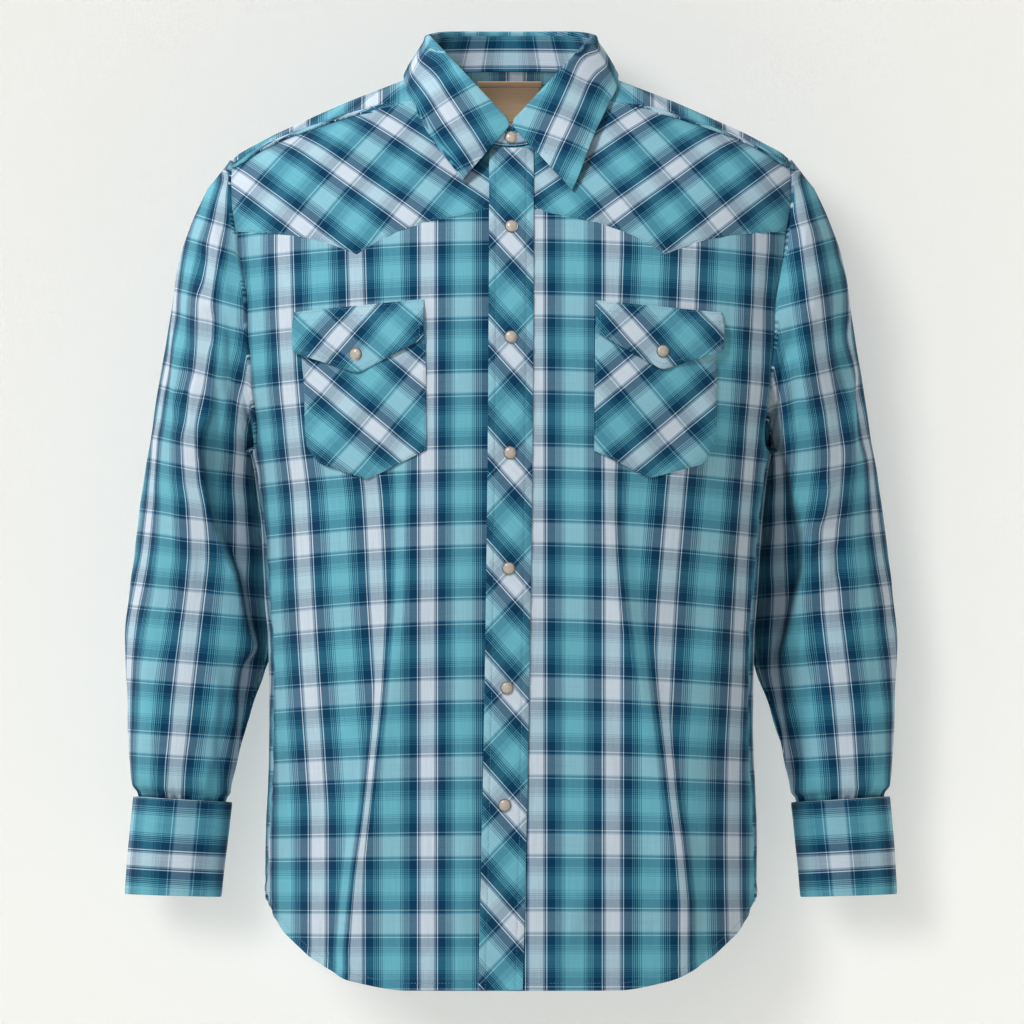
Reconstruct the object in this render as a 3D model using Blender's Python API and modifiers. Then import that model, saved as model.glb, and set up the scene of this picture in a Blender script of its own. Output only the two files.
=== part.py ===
"""A western snap shirt, filled out as if worn, made of its separate cut and sewn pieces.

Metres, +Z up, +X towards the wearer's left, +Y towards the wearer's back.
The origin is the middle of the neck, level with the sides of the neckline.
Every piece is a thin wall over a sheet of points that follows the body, sleeve or collar.
"""
import math
from bisect import bisect_right
from typing import NamedTuple

import bpy
from mathutils import Vector

COLLECTION_NAME = "western_snap_shirt"

# Cloth and clearances
WALL = 0.0014              # panels, sleeves and cuffs
LAID_WALL = 0.0011         # pieces that lie on a panel
SEAM_GAP = 0.0006          # between the edges of neighbouring pieces
SHOULDER_GAP = 0.0013      # wider, as the walls lean together over the shoulder
FIRST_LAYER = 0.0025       # outer face of a piece laid on a panel, above the panel's outer face
ARMHOLE_GAP = (0.0030, 0.0, -0.0006)   # from a panel's edge to the sleeve's
SECOND_LAYER = 0.0048      # outer face of a flap over a pocket
UNDERLAP = 0.0027          # how far the lower front sits behind the upper one
SNAP_GAP = 0.0005          # between a snap's back and the piece it is on

# Body
FULLNESS = 2.3             # 2 would make each level section an ellipse
APEX_Z = 0.065             # where the shoulder slopes would meet over the neck
WIDEST_Z = -0.090
HEM_SIDE_Z = -0.671        # lower end of the side seam
SHOULDER_TIP_Z = -0.050
UNDERARM_Z = -0.298

# Neck
NECK_HALF_WIDTH = 0.079
NECK_FRONT = 0.078
NECK_BACK = 0.065
NECK_SHAPE = 0.9
NECK_CORNER = 55.0         # turn from centre front where the shoulder seam starts
NECK_CORNER_GAP = 0.6      # degrees that each yoke keeps from that corner

# Front opening
PLACKET_TOP_Z = -0.0427
PLACKET_BOTTOM_Z = -0.7545
PLACKET_HALF_WIDTH = 0.019
PLACKET_SWAY = 0.0093      # the strip drifts towards the wearer's right on its way down
PLACKET_MIDDLE_X = 0.0004  # at the neckline
PLACKET_OVERHANG = 0.0015  # how far the strip's free edge reaches past the front's
LAP_X = 0.010              # how far the lower front reaches past the centre
TUCK_START = 0.018         # the lower front starts to sink this far outside the strip's edge
TUCK_WIDTH = 0.015
OPENING_CALM = 0.045       # folds fade out over this width beside the opening

# Yokes
YOKE_POINT_X = 0.1305
YOKE_ARMHOLE_TURN = 60.0   # turn round the armhole, from its tip, where both yokes end
SHOULDER_SEAM_TURN = -12.0

SNAP_RADIUS = 0.0055
SNAP_HEIGHT = 0.0031
SNAP_STEPS = 12
HALVINGS = 36              # of the span in which a height is searched for


class Level(NamedTuple):
    """Level section of the body."""
    z: float
    width: float           # half of the width
    front: float           # depth ahead of the middle
    back: float            # depth behind the middle


LEVELS = (
    Level(-0.770, 0.2050, 0.1380, 0.1330),
    Level(-0.700, 0.2080, 0.1350, 0.1280),
    Level(-0.629, 0.2090, 0.1320, 0.1220),
    Level(-0.561, 0.2060, 0.1295, 0.1165),
    Level(-0.502, 0.2057, 0.1285, 0.1135),
    Level(-0.459, 0.2066, 0.1290, 0.1135),
    Level(-0.406, 0.2105, 0.1310, 0.1160),
    Level(-0.353, 0.2135, 0.1330, 0.1200),
    Level(-0.298, 0.2220, 0.1340, 0.1245),
    Level(-0.244, 0.2360, 0.1325, 0.1275),
    Level(-0.190, 0.2426, 0.1280, 0.1300),
    Level(-0.150, 0.2440, 0.1210, 0.1290),
    Level(-0.116, 0.2450, 0.1130, 0.1265),
    Level(-0.090, 0.2460, 0.1050, 0.1230),
    Level(-0.070, 0.2445, 0.0940, 0.1190),
    Level(-0.051, 0.2360, 0.0830, 0.1125),
    Level(-0.034, 0.2087, 0.0740, 0.1060),
    Level(-0.017, 0.1725, 0.0650, 0.0980),
    Level(0.000, 0.1335, 0.0570, 0.0880),
    Level(0.0153, 0.0940, 0.0500, 0.0740),
    Level(0.0225, 0.0770, 0.0460, 0.0670),
    Level(0.045, 0.0300, 0.0370, 0.0540),
    Level(0.065, 0.0040, 0.0300, 0.0460),
)


class HemPoint(NamedTuple):
    """Height of the shirt tail at an angle round the body from centre front."""
    angle: float
    z: float


HEM = (
    HemPoint(0, -0.755), HemPoint(22, -0.755), HemPoint(36, -0.748), HemPoint(50, -0.731),
    HemPoint(61, -0.714), HemPoint(72, -0.696), HemPoint(79, -0.681), HemPoint(84, HEM_SIDE_Z),
    HemPoint(90, -0.680), HemPoint(100, -0.697), HemPoint(113, -0.716), HemPoint(126, -0.735),
    HemPoint(140, -0.753), HemPoint(156, -0.762), HemPoint(180, -0.764),
)


class SeamPoint(NamedTuple):
    """Point of a seam as seen from the front or back."""
    x: float
    z: float


FRONT_YOKE_INNER = (
    SeamPoint(0.0, -0.0925), SeamPoint(0.020, -0.0950), SeamPoint(0.055, -0.1015),
    SeamPoint(0.080, -0.1075), SeamPoint(0.105, -0.1170), SeamPoint(YOKE_POINT_X, -0.1320),
)
FRONT_YOKE_OUTER = (
    SeamPoint(YOKE_POINT_X, -0.1320), SeamPoint(0.159, -0.1215), SeamPoint(0.1825, -0.1165),
    SeamPoint(0.2075, -0.1140), SeamPoint(0.236, -0.1122),
)
BACK_YOKE = (
    SeamPoint(0.0, -0.178), SeamPoint(0.045, -0.158), SeamPoint(0.100, -0.141),
    SeamPoint(0.160, -0.127), SeamPoint(0.210, -0.117), SeamPoint(0.240, -0.1122),
)
SHOULDER_SEAM = (
    SeamPoint(0.0808, -0.0017), SeamPoint(0.105, -0.0050), SeamPoint(0.128, -0.0093),
    SeamPoint(0.162, -0.0205), SeamPoint(0.198, -0.0345), SeamPoint(0.2370, -0.0560),
)


class SideSeam(NamedTuple):
    """Angle of the side seam from centre front."""
    z: float
    angle: float


SIDE_SEAM = (
    SideSeam(HEM_SIDE_Z, 84), SideSeam(-0.650, 80), SideSeam(-0.600, 78),
    SideSeam(-0.450, 77), SideSeam(UNDERARM_Z, 81),
)


class Armhole(NamedTuple):
    """Angle round the body of the armhole, at a turn from its tip by the back."""
    turn: float
    angle: float


ARMHOLE = (
    Armhole(0, 90), Armhole(15, 97.5), Armhole(30, 104), Armhole(50, 108.5), Armhole(70, 111.5),
    Armhole(90, 113), Armhole(110, 113), Armhole(130, 110), Armhole(150, 103), Armhole(165, 93),
    Armhole(180, 81), Armhole(195, 75), Armhole(210, 71), Armhole(230, 67.5), Armhole(250, 65.5),
    Armhole(270, 65.5), Armhole(290, 69.3), Armhole(310, 72.5), Armhole(330, 75.5),
    Armhole(345, 81.5), Armhole(360, 90),
)


FOLD_TAPER = 0.3           # share of a fold's length over which each end dies out


class Fold(NamedTuple):
    """Soft ridge (or trough, if its height is negative) from one point to another."""
    x0: float
    z0: float
    x1: float
    z1: float
    reach: float
    height: float


FRONT_FOLDS = (
    Fold(-0.094, -0.400, -0.126, -0.640, 0.034, 0.0060),
    Fold(-0.126, -0.610, -0.142, -0.720, 0.030, 0.0055),
    Fold(-0.150, -0.450, -0.168, -0.690, 0.026, -0.0035),
    Fold(0.087, -0.345, 0.096, -0.450, 0.028, 0.0045),
    Fold(0.094, -0.430, 0.114, -0.580, 0.032, 0.0060),
    Fold(0.150, -0.500, 0.145, -0.700, 0.030, 0.0040),
    Fold(0.060, -0.665, 0.022, -0.745, 0.024, 0.0045),
    Fold(-0.026, -0.610, -0.044, -0.720, 0.022, 0.0030),
    Fold(-0.190, -0.250, -0.120, -0.350, 0.026, 0.0035),
    Fold(0.190, -0.250, 0.125, -0.350, 0.026, 0.0035),
)
BACK_FOLDS = (
    Fold(-0.080, -0.160, -0.062, -0.520, 0.040, 0.0065),
    Fold(0.080, -0.160, 0.066, -0.540, 0.040, 0.0065),
    Fold(0.000, -0.330, 0.006, -0.640, 0.036, 0.0050),
    Fold(-0.125, -0.420, -0.115, -0.700, 0.032, 0.0050),
    Fold(0.125, -0.440, 0.112, -0.690, 0.032, 0.0050),
    Fold(-0.200, -0.250, -0.130, -0.330, 0.028, 0.0040),
    Fold(0.200, -0.250, 0.130, -0.330, 0.028, 0.0040),
)


class SleeveRing(NamedTuple):
    """Slanted section of a sleeve, from its outer point to its inner one."""
    outer_x: float
    outer_z: float
    inner_x: float
    inner_z: float
    middle_y: float
    depth: float           # half of the section's depth


SLEEVE_RINGS = (
    SleeveRing(0.2575, -0.075, 0.2235, -0.3015, 0.000, 0.0600),
    SleeveRing(0.2712, -0.105, 0.2245, -0.3080, 0.004, 0.0655),
    SleeveRing(0.2808, -0.140, 0.2238, -0.3200, 0.011, 0.0690),
    SleeveRing(0.2880, -0.180, 0.2210, -0.3360, 0.019, 0.0700),
    SleeveRing(0.2955, -0.225, 0.2155, -0.3550, 0.027, 0.0670),
    SleeveRing(0.3032, -0.270, 0.2110, -0.3780, 0.034, 0.0630),
    SleeveRing(0.3103, -0.315, 0.2073, -0.4030, 0.041, 0.0590),
    SleeveRing(0.3166, -0.360, 0.2050, -0.4300, 0.046, 0.0555),
    SleeveRing(0.3224, -0.405, 0.2050, -0.4580, 0.049, 0.0520),
    SleeveRing(0.3266, -0.450, 0.2110, -0.4870, 0.050, 0.0490),
    SleeveRing(0.3285, -0.495, 0.2205, -0.5170, 0.049, 0.0465),
    SleeveRing(0.3268, -0.535, 0.2300, -0.5480, 0.047, 0.0445),
    SleeveRing(0.3240, -0.570, 0.2370, -0.5780, 0.044, 0.0430),
    SleeveRing(0.3203, -0.5905, 0.2400, -0.5955, 0.043, 0.0360),
)


class SleeveFold(NamedTuple):
    """Ridge or trough on a sleeve: turn in degrees, ring number, reach in rings."""
    turn0: float
    ring0: float
    turn1: float
    ring1: float
    reach: float
    height: float


DEGREES_PER_RING = 45.0    # turn that counts as far as one ring in a sleeve fold

SLEEVE_FOLDS = (
    SleeveFold(316, 3.0, 300, 6.0, 1.5, 0.0045),
    SleeveFold(300, 5.5, 232, 9.5, 1.5, 0.0050),
    SleeveFold(212, 8.0, 255, 10.2, 1.2, -0.0045),
    SleeveFold(255, 10.2, 222, 12.6, 1.2, 0.0040),
    SleeveFold(330, 10.0, 275, 12.2, 1.3, 0.0035),
    SleeveFold(245, 1.5, 232, 5.5, 1.5, -0.0040),
    SleeveFold(60, 3.0, 100, 7.0, 1.6, 0.0050),
    SleeveFold(115, 6.5, 70, 9.5, 1.4, -0.0045),
    SleeveFold(80, 9.0, 130, 11.5, 1.3, 0.0045),
    SleeveFold(30, 7.5, -12, 10.0, 1.3, 0.0030),
)


class CuffRing(NamedTuple):
    """Section of a cuff."""
    outer_x: float
    outer_z: float
    inner_x: float
    inner_z: float


CUFF_RINGS = (
    CuffRing(0.3214, -0.5920, 0.2375, -0.5972),
    CuffRing(0.3240, -0.6200, 0.2400, -0.6240),
    CuffRing(0.3262, -0.6480, 0.2430, -0.6510),
    CuffRing(0.3278, -0.6755, 0.2457, -0.6780),
)
CUFF_MIDDLE_Y = 0.043
CUFF_DEPTH = 0.0345
CUFF_LAP_START = 52.0      # turn at which the outer end of the band lies
CUFF_LAP = 26.0            # degrees by which the ends lap
CUFF_SPREAD = 0.0013       # half of the step between the lapped ends
CUFF_STEPS = 26


class LeafEdge(NamedTuple):
    """Outer edge of the collar leaf at a turn from centre front."""
    turn: float
    x: float
    y: float
    z: float


LEAF_EDGE = (
    LeafEdge(0, 0.0455, -0.1030, -0.0750), LeafEdge(20, 0.0580, -0.0930, -0.0530),
    LeafEdge(40, 0.0715, -0.0765, -0.0275), LeafEdge(60, 0.0835, -0.0560, -0.0030),
    LeafEdge(75, 0.0900, -0.0395, 0.0105), LeafEdge(90, 0.0915, -0.0060, 0.0208),
    LeafEdge(110, 0.0890, 0.0245, 0.0220), LeafEdge(135, 0.0700, 0.0550, 0.0210),
    LeafEdge(160, 0.0370, 0.0755, 0.0150), LeafEdge(180, 0.0, 0.0830, 0.0120),
)
LEAF_TIP_SHIFT_X = 0.0052  # the wearer's left tip reaches further out and down
LEAF_TIP_SHIFT_Z = 0.0042
FOLD_HALF_WIDTH = 0.0695
FOLD_FRONT = 0.0740
FOLD_BACK = 0.0600
FOLD_FRONT_Z = -0.0200
FOLD_SIDE_Z = 0.0525
FOLD_BACK_Z = 0.0588
FOLD_BACK_LEVEL = 6.0      # how long the fold stays level across the back
FOLD_SHAPE = 0.95
STAND_LAP = 13.0           # degrees by which each end of the stand passes centre front
STAND_SPREAD = 0.0013
STAND_BELOW_FOLD = 0.0036
STAND_ABOVE_SEAM = 0.0024
STAND_END_DROP = 0.006     # the ends' upper corners are rounded down by this much
FRONT_TURN = 45.0          # columns of stand and leaf are closer within this turn of the front


class Pocket(NamedTuple):
    """Chest pocket and its flap, in distances from the middle (x) and heights."""
    side: int
    inner: float
    outer_top: float
    outer_bottom: float
    inner_z: float
    outer_z: float
    point_x: float
    point_z: float
    flap_inner: float
    flap_outer: float
    flap_top_inner: float
    flap_top_outer: float
    flap_inner_z: float
    flap_outer_z: float
    flap_point_x: float
    flap_point_z: float
    snap_x: float
    snap_z: float


POCKETS = (
    Pocket(side=-1, inner=0.0712, outer_top=0.1790, outer_bottom=0.1703, inner_z=-0.2979,
           outer_z=-0.3033, point_x=0.1214, point_z=-0.3229,
           flap_inner=0.0734, flap_outer=0.1833, flap_top_inner=-0.1703,
           flap_top_outer=-0.1810, flap_inner_z=-0.2043, flap_outer_z=-0.2150,
           flap_point_x=0.1285, flap_point_z=-0.2332, snap_x=0.1300, snap_z=-0.2168),
    Pocket(side=1, inner=0.0701, outer_top=0.1757, outer_bottom=0.1705, inner_z=-0.2985,
           outer_z=-0.3040, point_x=0.1176, point_z=-0.3217,
           flap_inner=0.0712, flap_outer=0.1786, flap_top_inner=-0.1714,
           flap_top_outer=-0.1816, flap_inner_z=-0.1985, flap_outer_z=-0.2139,
           flap_point_x=0.1265, flap_point_z=-0.2305, snap_x=0.1265, snap_z=-0.2145),
)
POCKET_TOP_DROP = 0.016    # the pocket's mouth lies this far below its flap's top
FRONT_SNAP_Z = (-0.1091, -0.2023, -0.3000, -0.3978, -0.4990, -0.5984)
STAND_SNAP_Z = -0.0328

SIDE_NAMES = {1: "left", -1: "right"}


class Curve:
    """A smooth line through (key, value) pairs that never overshoots them."""

    def __init__(self, pairs):
        ordered = sorted(pairs)
        self.keys = [key for key, _ in ordered]
        self.values = [value for _, value in ordered]
        steps = [(self.values[i + 1] - self.values[i]) / (self.keys[i + 1] - self.keys[i])
                 for i in range(len(ordered) - 1)]
        self.slopes = [steps[0]]
        for before, after in zip(steps, steps[1:]):
            mean = 2 * before * after / (before + after) if before * after > 0 else 0.0
            self.slopes.append(mean)
        self.slopes.append(steps[-1])

    def __call__(self, at):
        if at <= self.keys[0]:
            return self.values[0]
        if at >= self.keys[-1]:
            return self.values[-1]
        i = bisect_right(self.keys, at) - 1
        span = self.keys[i + 1] - self.keys[i]
        t = (at - self.keys[i]) / span
        rise = t * t * (3 - 2 * t)
        return (self.values[i] * (1 - rise) + self.values[i + 1] * rise
                + span * t * (1 - t) * ((1 - t) * self.slopes[i] - t * self.slopes[i + 1]))


HALF_WIDTH = Curve((level.z, level.width) for level in LEVELS)
FRONT_DEPTH = Curve((level.z, level.front) for level in LEVELS)
BACK_DEPTH = Curve((level.z, level.back) for level in LEVELS)
HEM_Z = Curve(HEM)
SIDE_ANGLE = Curve(SIDE_SEAM)
ARMHOLE_ANGLE = Curve(ARMHOLE)
YOKE_INNER_Z = Curve(FRONT_YOKE_INNER)
YOKE_OUTER_Z = Curve(FRONT_YOKE_OUTER)
BACK_YOKE_Z = Curve(BACK_YOKE)
SHOULDER_SEAM_Z = Curve(SHOULDER_SEAM)
LEAF_X = Curve((row.turn, row.x) for row in LEAF_EDGE)
LEAF_Y = Curve((row.turn, row.y) for row in LEAF_EDGE)
LEAF_Z = Curve((row.turn, row.z) for row in LEAF_EDGE)


def power(value, exponent):
    """Raise a number's size to a power and keep its sign."""
    return math.copysign(abs(value) ** exponent, value)


def ease(t):
    """Smooth step from 0 to 1."""
    t = min(max(t, 0.0), 1.0)
    return t * t * (3 - 2 * t)


def spread(first, last, steps):
    """Evenly spaced numbers, both ends included."""
    return [first + (last - first) * i / steps for i in range(steps + 1)]


def chain(*runs):
    """Join runs of numbers or points that meet end to end."""
    joined = list(runs[0])
    for run in runs[1:]:
        joined.extend(run[1:])
    return joined


# --- The body's surface ---------------------------------------------------------------

def fold_height(folds, x, z):
    """Height of all folds at a point."""
    total = 0.0
    for fold in folds:
        run = Vector((fold.x1 - fold.x0, fold.z1 - fold.z0))
        here = Vector((x - fold.x0, z - fold.z0))
        along = here.dot(run) / run.length_squared
        across = (here - run * along).length / fold.reach
        if across < 1.0:
            total += fold.height * (1 - across ** 2) ** 2 * ease(min(along, 1 - along) / FOLD_TAPER)
    return total


def plan_normal(x, y, z):
    """Level direction that points out of the body."""
    depth = FRONT_DEPTH(z) if y < 0 else BACK_DEPTH(z)
    slope = Vector((power(x, FULLNESS - 1) / HALF_WIDTH(z) ** FULLNESS,
                    power(y, FULLNESS - 1) / depth ** FULLNESS, 0.0))
    return slope.normalized()


def with_folds(x, y, z):
    """Point of the body's surface with its folds, which die out towards the stitched opening."""
    if y < 0:
        height = fold_height(FRONT_FOLDS, x, z) * ease((abs(x) - PLACKET_HALF_WIDTH) / OPENING_CALM)
    else:
        height = fold_height(BACK_FOLDS, x, z)
    return Vector((x, y, z)) + plan_normal(x, y, z) * height


def torso(angle, z):
    """Body surface by the angle from centre front, in degrees, and height."""
    turn = math.radians(angle)
    depth = FRONT_DEPTH(z) if math.cos(turn) > 0 else BACK_DEPTH(z)
    x = HALF_WIDTH(z) * power(math.sin(turn), 2 / FULLNESS)
    y = -depth * power(math.cos(turn), 2 / FULLNESS)
    return with_folds(x, y, z)


def front_angle(x, z):
    """Angle from centre front of the front's point at x and z."""
    share = min(abs(x) / HALF_WIDTH(z), 1.0)
    return math.copysign(math.degrees(math.asin(share ** (FULLNESS / 2))), x)


def ridge_height(x):
    """Height of the shoulder ridge above x."""
    low, high = WIDEST_Z, APEX_Z
    for _ in range(HALVINGS):
        middle = (low + high) / 2
        if HALF_WIDTH(middle) > abs(x):
            low = middle
        else:
            high = middle
    return low


def shoulder_drop(x, z, facing):
    """Second coordinate on the shoulders: 0 on the ridge, below 0 in front of it."""
    return facing * math.sqrt(max(ridge_height(x) - z, 0.0))


def shoulder(x, drop):
    """Body surface over the shoulders by x and shoulder_drop."""
    z = ridge_height(x) - drop ** 2
    depth = FRONT_DEPTH(z) if drop < 0 else BACK_DEPTH(z)
    share = min(abs(x) / HALF_WIDTH(z), 1.0)
    y = math.copysign(depth * (1 - share ** FULLNESS) ** (1 / FULLNESS), drop)
    return with_folds(x, y, z)


def front(x, z):
    """Front surface by x and z."""
    share = min(abs(x) / HALF_WIDTH(z), 1.0)
    y = -FRONT_DEPTH(z) * (1 - share ** FULLNESS) ** (1 / FULLNESS)
    return with_folds(x, y, z)


def lifted(surface, a, b, lift, step=0.002):
    """Point of a surface moved along its normal (a runs to the left of the normal's view)."""
    here = surface(a, b)
    along = surface(a + step, b) - surface(a - step, b)
    up = surface(a, b + step) - surface(a, b - step)
    return here + along.cross(up).normalized() * lift


# --- Seams ----------------------------------------------------------------------------

def armhole_z(turn):
    """Height of the armhole at a turn from its tip."""
    middle = (SHOULDER_TIP_Z + UNDERARM_Z) / 2
    return middle + (SHOULDER_TIP_Z - middle) * math.cos(math.radians(turn))


def armhole_point(turn):
    """(angle, z) of the left armhole."""
    return ARMHOLE_ANGLE(turn % 360), armhole_z(turn)


def plan_point(angle, z):
    """x and facing of a point given by angle and z."""
    x = HALF_WIDTH(z) * power(math.sin(math.radians(angle)), 2 / FULLNESS)
    return x, (-1 if math.cos(math.radians(angle)) > 0 else 1)


def armhole_shoulder(turn):
    """(x, drop) of the left armhole."""
    angle, z = armhole_point(turn)
    x, facing = plan_point(angle, z)
    return x, shoulder_drop(x, z, facing)


def placket_centre(z):
    """x of the front strip's middle line."""
    share = (z - PLACKET_TOP_Z) / (PLACKET_BOTTOM_Z - PLACKET_TOP_Z)
    return PLACKET_MIDDLE_X - PLACKET_SWAY * min(max(share, 0.0), 1.0) ** 2


def front_yoke_z(x):
    """Height of the front yoke's seam."""
    return YOKE_INNER_Z(x) if x < YOKE_POINT_X else YOKE_OUTER_Z(x)


def neck_plan(turn):
    """x and y of the neckline at a turn from centre front, in degrees."""
    angle = math.radians(turn)
    reach = NECK_FRONT if math.cos(angle) > 0 else NECK_BACK
    return NECK_HALF_WIDTH * power(math.sin(angle), NECK_SHAPE), -reach * math.cos(angle)


def neckline(turn):
    """Point where the neckline lies on the body."""
    x, y = neck_plan(turn)
    low, high = WIDEST_Z, APEX_Z
    for _ in range(HALVINGS):
        z = (low + high) / 2
        depth = FRONT_DEPTH(z) if y < 0 else BACK_DEPTH(z)
        if (abs(x) / HALF_WIDTH(z)) ** FULLNESS + (abs(y) / depth) ** FULLNESS < 1:
            low = z
        else:
            high = z
    return Vector((x, y, low))


def neck_shoulder(turn):
    """(x, drop) of the neckline."""
    point = neckline(turn)
    return point.x, shoulder_drop(point.x, point.z, math.copysign(1, point.y))


SEAM_STEPS = 7             # columns along a shoulder seam
FRONT_NECK_STEPS = 4
BACK_NECK_STEPS = 12
FRONT_POINT_COLUMN = 6
FRONT_COLUMNS = SEAM_STEPS + FRONT_NECK_STEPS
SIDE_ROWS = 9
ARM_ROWS = 10
YOKE_ROWS = 4
BACK_YOKE_ROWS = 6
RING_STEPS = 30
SIDE_GAP = math.degrees(SEAM_GAP / HALF_WIDTH(-0.45)) / 2   # degrees on each side of the seam


def shoulder_seam(shift):
    """(x, drop) points of the left shoulder seam, from the neck to the armhole."""
    first = neckline(NECK_CORNER)
    last_x, _ = armhole_shoulder(SHOULDER_SEAM_TURN)
    points = []
    for x in spread(first.x, last_x, SEAM_STEPS):
        z = SHOULDER_SEAM_Z(x) if x > SHOULDER_SEAM[0].x else (
            first.z + (SHOULDER_SEAM[0].z - first.z) * (x - first.x) / (SHOULDER_SEAM[0].x - first.x))
        points.append((x, shoulder_drop(x, z + shift, -1)))
    return points


def front_seam_x(inner_x):
    """x of the columns that a front shares with its yoke."""
    outer_x, _ = plan_point(*armhole_point(-YOKE_ARMHOLE_TURN))
    return chain(spread(inner_x, YOKE_POINT_X, FRONT_POINT_COLUMN),
                 spread(YOKE_POINT_X, outer_x, FRONT_COLUMNS - FRONT_POINT_COLUMN))


def inner_edge_x(side, z):
    """Inner edge of a front, measured towards its own side."""
    if side > 0:
        return placket_centre(z) - PLACKET_HALF_WIDTH + PLACKET_OVERHANG
    return -(LAP_X + placket_centre(z))


# --- Patches and meshes ---------------------------------------------------------------

def patch(south, north, west, east):
    """Coons patch between four rows of (a, b) points that share their corners."""
    columns, rows = len(south) - 1, len(west) - 1
    grid = []
    for j in range(rows + 1):
        s = j / rows
        row = []
        for i in range(columns + 1):
            t = i / columns
            row.append(tuple(
                (1 - s) * south[i][k] + s * north[i][k]
                + (1 - t) * west[j][k] + t * east[j][k]
                - (1 - s) * ((1 - t) * south[0][k] + t * south[-1][k])
                - s * ((1 - t) * north[0][k] + t * north[-1][k])
                for k in range(2)))
        grid.append(row)
    return grid


def make_material(name, colour, roughness, metallic=0.0):
    """Plain Principled material."""
    material = bpy.data.materials.new(name)
    material.use_nodes = True
    shader = material.node_tree.nodes["Principled BSDF"]
    shader.inputs["Base Color"].default_value = (*colour, 1.0)
    shader.inputs["Roughness"].default_value = roughness
    shader.inputs["Metallic"].default_value = metallic
    return material


CLOTH_TEAL = (0.115, 0.360, 0.420)
CLOTH_NAVY = (0.030, 0.110, 0.190)
LABEL_TAN = (0.420, 0.290, 0.180)
TAPE_CREAM = (0.640, 0.560, 0.440)
PEARL = (0.700, 0.630, 0.540)
CLOTH_ROUGHNESS = 0.85


def add_object(name, mesh, colour, roughness=CLOTH_ROUGHNESS, metallic=0.0):
    """Link a mesh into the shirt's collection with its own material."""
    mesh.materials.append(make_material(name + "_finish", colour, roughness, metallic))
    piece = bpy.data.objects.new(name, mesh)
    bpy.data.collections[COLLECTION_NAME].objects.link(piece)
    return piece


def add_sheet(name, grid, wall, inside, colour=CLOTH_TEAL, closed=False):
    """Make a wall from a grid of outer points.

    The wall grows away from the side that the faces look to, which is turned to look away
    from the point inside. A closed grid joins its last column to its first.
    """
    count = len(grid[0])
    points = [point for row in grid for point in row]
    quads = []
    for j in range(len(grid) - 1):
        for i in range(count if closed else count - 1):
            k = (i + 1) % count
            quads.append((j * count + i, j * count + k, (j + 1) * count + k, (j + 1) * count + i))
    outward = 0.0
    for a, b, c, _ in quads:
        normal = (points[b] - points[a]).cross(points[c] - points[a])
        outward += normal.dot(points[a] - inside)
    if outward < 0:
        quads = [quad[::-1] for quad in quads]
    mesh = bpy.data.meshes.new(name)
    mesh.from_pydata(points, [], quads)
    mesh.shade_smooth()
    piece = add_object(name, mesh, colour)
    thicken = piece.modifiers.new("wall", "SOLIDIFY")
    thicken.thickness = wall
    thicken.offset = -1.0
    return piece


def mirrored(point, side):
    """The point on the given side of the body (1 is the wearer's left)."""
    return Vector((point.x * side, point.y, point.z))


BODY_MIDDLE = Vector((0.0, 0.0, -0.30))
NECK_MIDDLE = Vector((0.0, 0.0, 0.0))


# --- Fronts, back and yokes -----------------------------------------------------------

def tuck(x, z):
    """How far the wearer's right front sits behind the left one."""
    edge = placket_centre(z) - PLACKET_HALF_WIDTH
    return UNDERLAP * ease((x - edge + TUCK_START) / TUCK_WIDTH)


def place_front(side, place, a, b):
    """Point of a front or front yoke; a is measured towards the piece's own side."""
    point = place(a * side, b)
    if side < 0:
        point = point - plan_normal(point.x, point.y, point.z) * tuck(point.x, point.z)
    return point


def build_front(side):
    """Front below the yoke."""
    top_x = front_seam_x(inner_edge_x(side, front_yoke_z(0.0)))
    north = [(front_angle(x, front_yoke_z(abs(x)) - SEAM_GAP), front_yoke_z(abs(x)) - SEAM_GAP)
             for x in top_x]
    low_side = [(SIDE_ANGLE(z) - SIDE_GAP, z) for z in spread(HEM_SIDE_Z, UNDERARM_Z, SIDE_ROWS)]
    arm = [armhole_point(turn) for turn in spread(180, 360 - YOKE_ARMHOLE_TURN, ARM_ROWS)]
    arm[0] = low_side[-1]
    arm[-1] = north[-1]
    east = chain(low_side, arm)
    hem_x = inner_edge_x(side, HEM_Z(0))
    first_angle = front_angle(hem_x, HEM_Z(0))
    south = [(angle, HEM_Z(abs(angle))) for angle in spread(first_angle, low_side[0][0], FRONT_COLUMNS)]
    south[-1] = east[0]
    west_z = chain(spread(HEM_Z(0), UNDERARM_Z, SIDE_ROWS),
                   spread(UNDERARM_Z, north[0][1], ARM_ROWS))
    west = [(front_angle(inner_edge_x(side, z), z), z) for z in west_z]
    west[0], west[-1] = south[0], north[0]
    grid = [[place_front(side, torso, a, b) for a, b in row]
            for row in patch(south, north, west, east)]
    add_sheet(f"front_{SIDE_NAMES[side]}", grid, WALL, BODY_MIDDLE)


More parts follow.
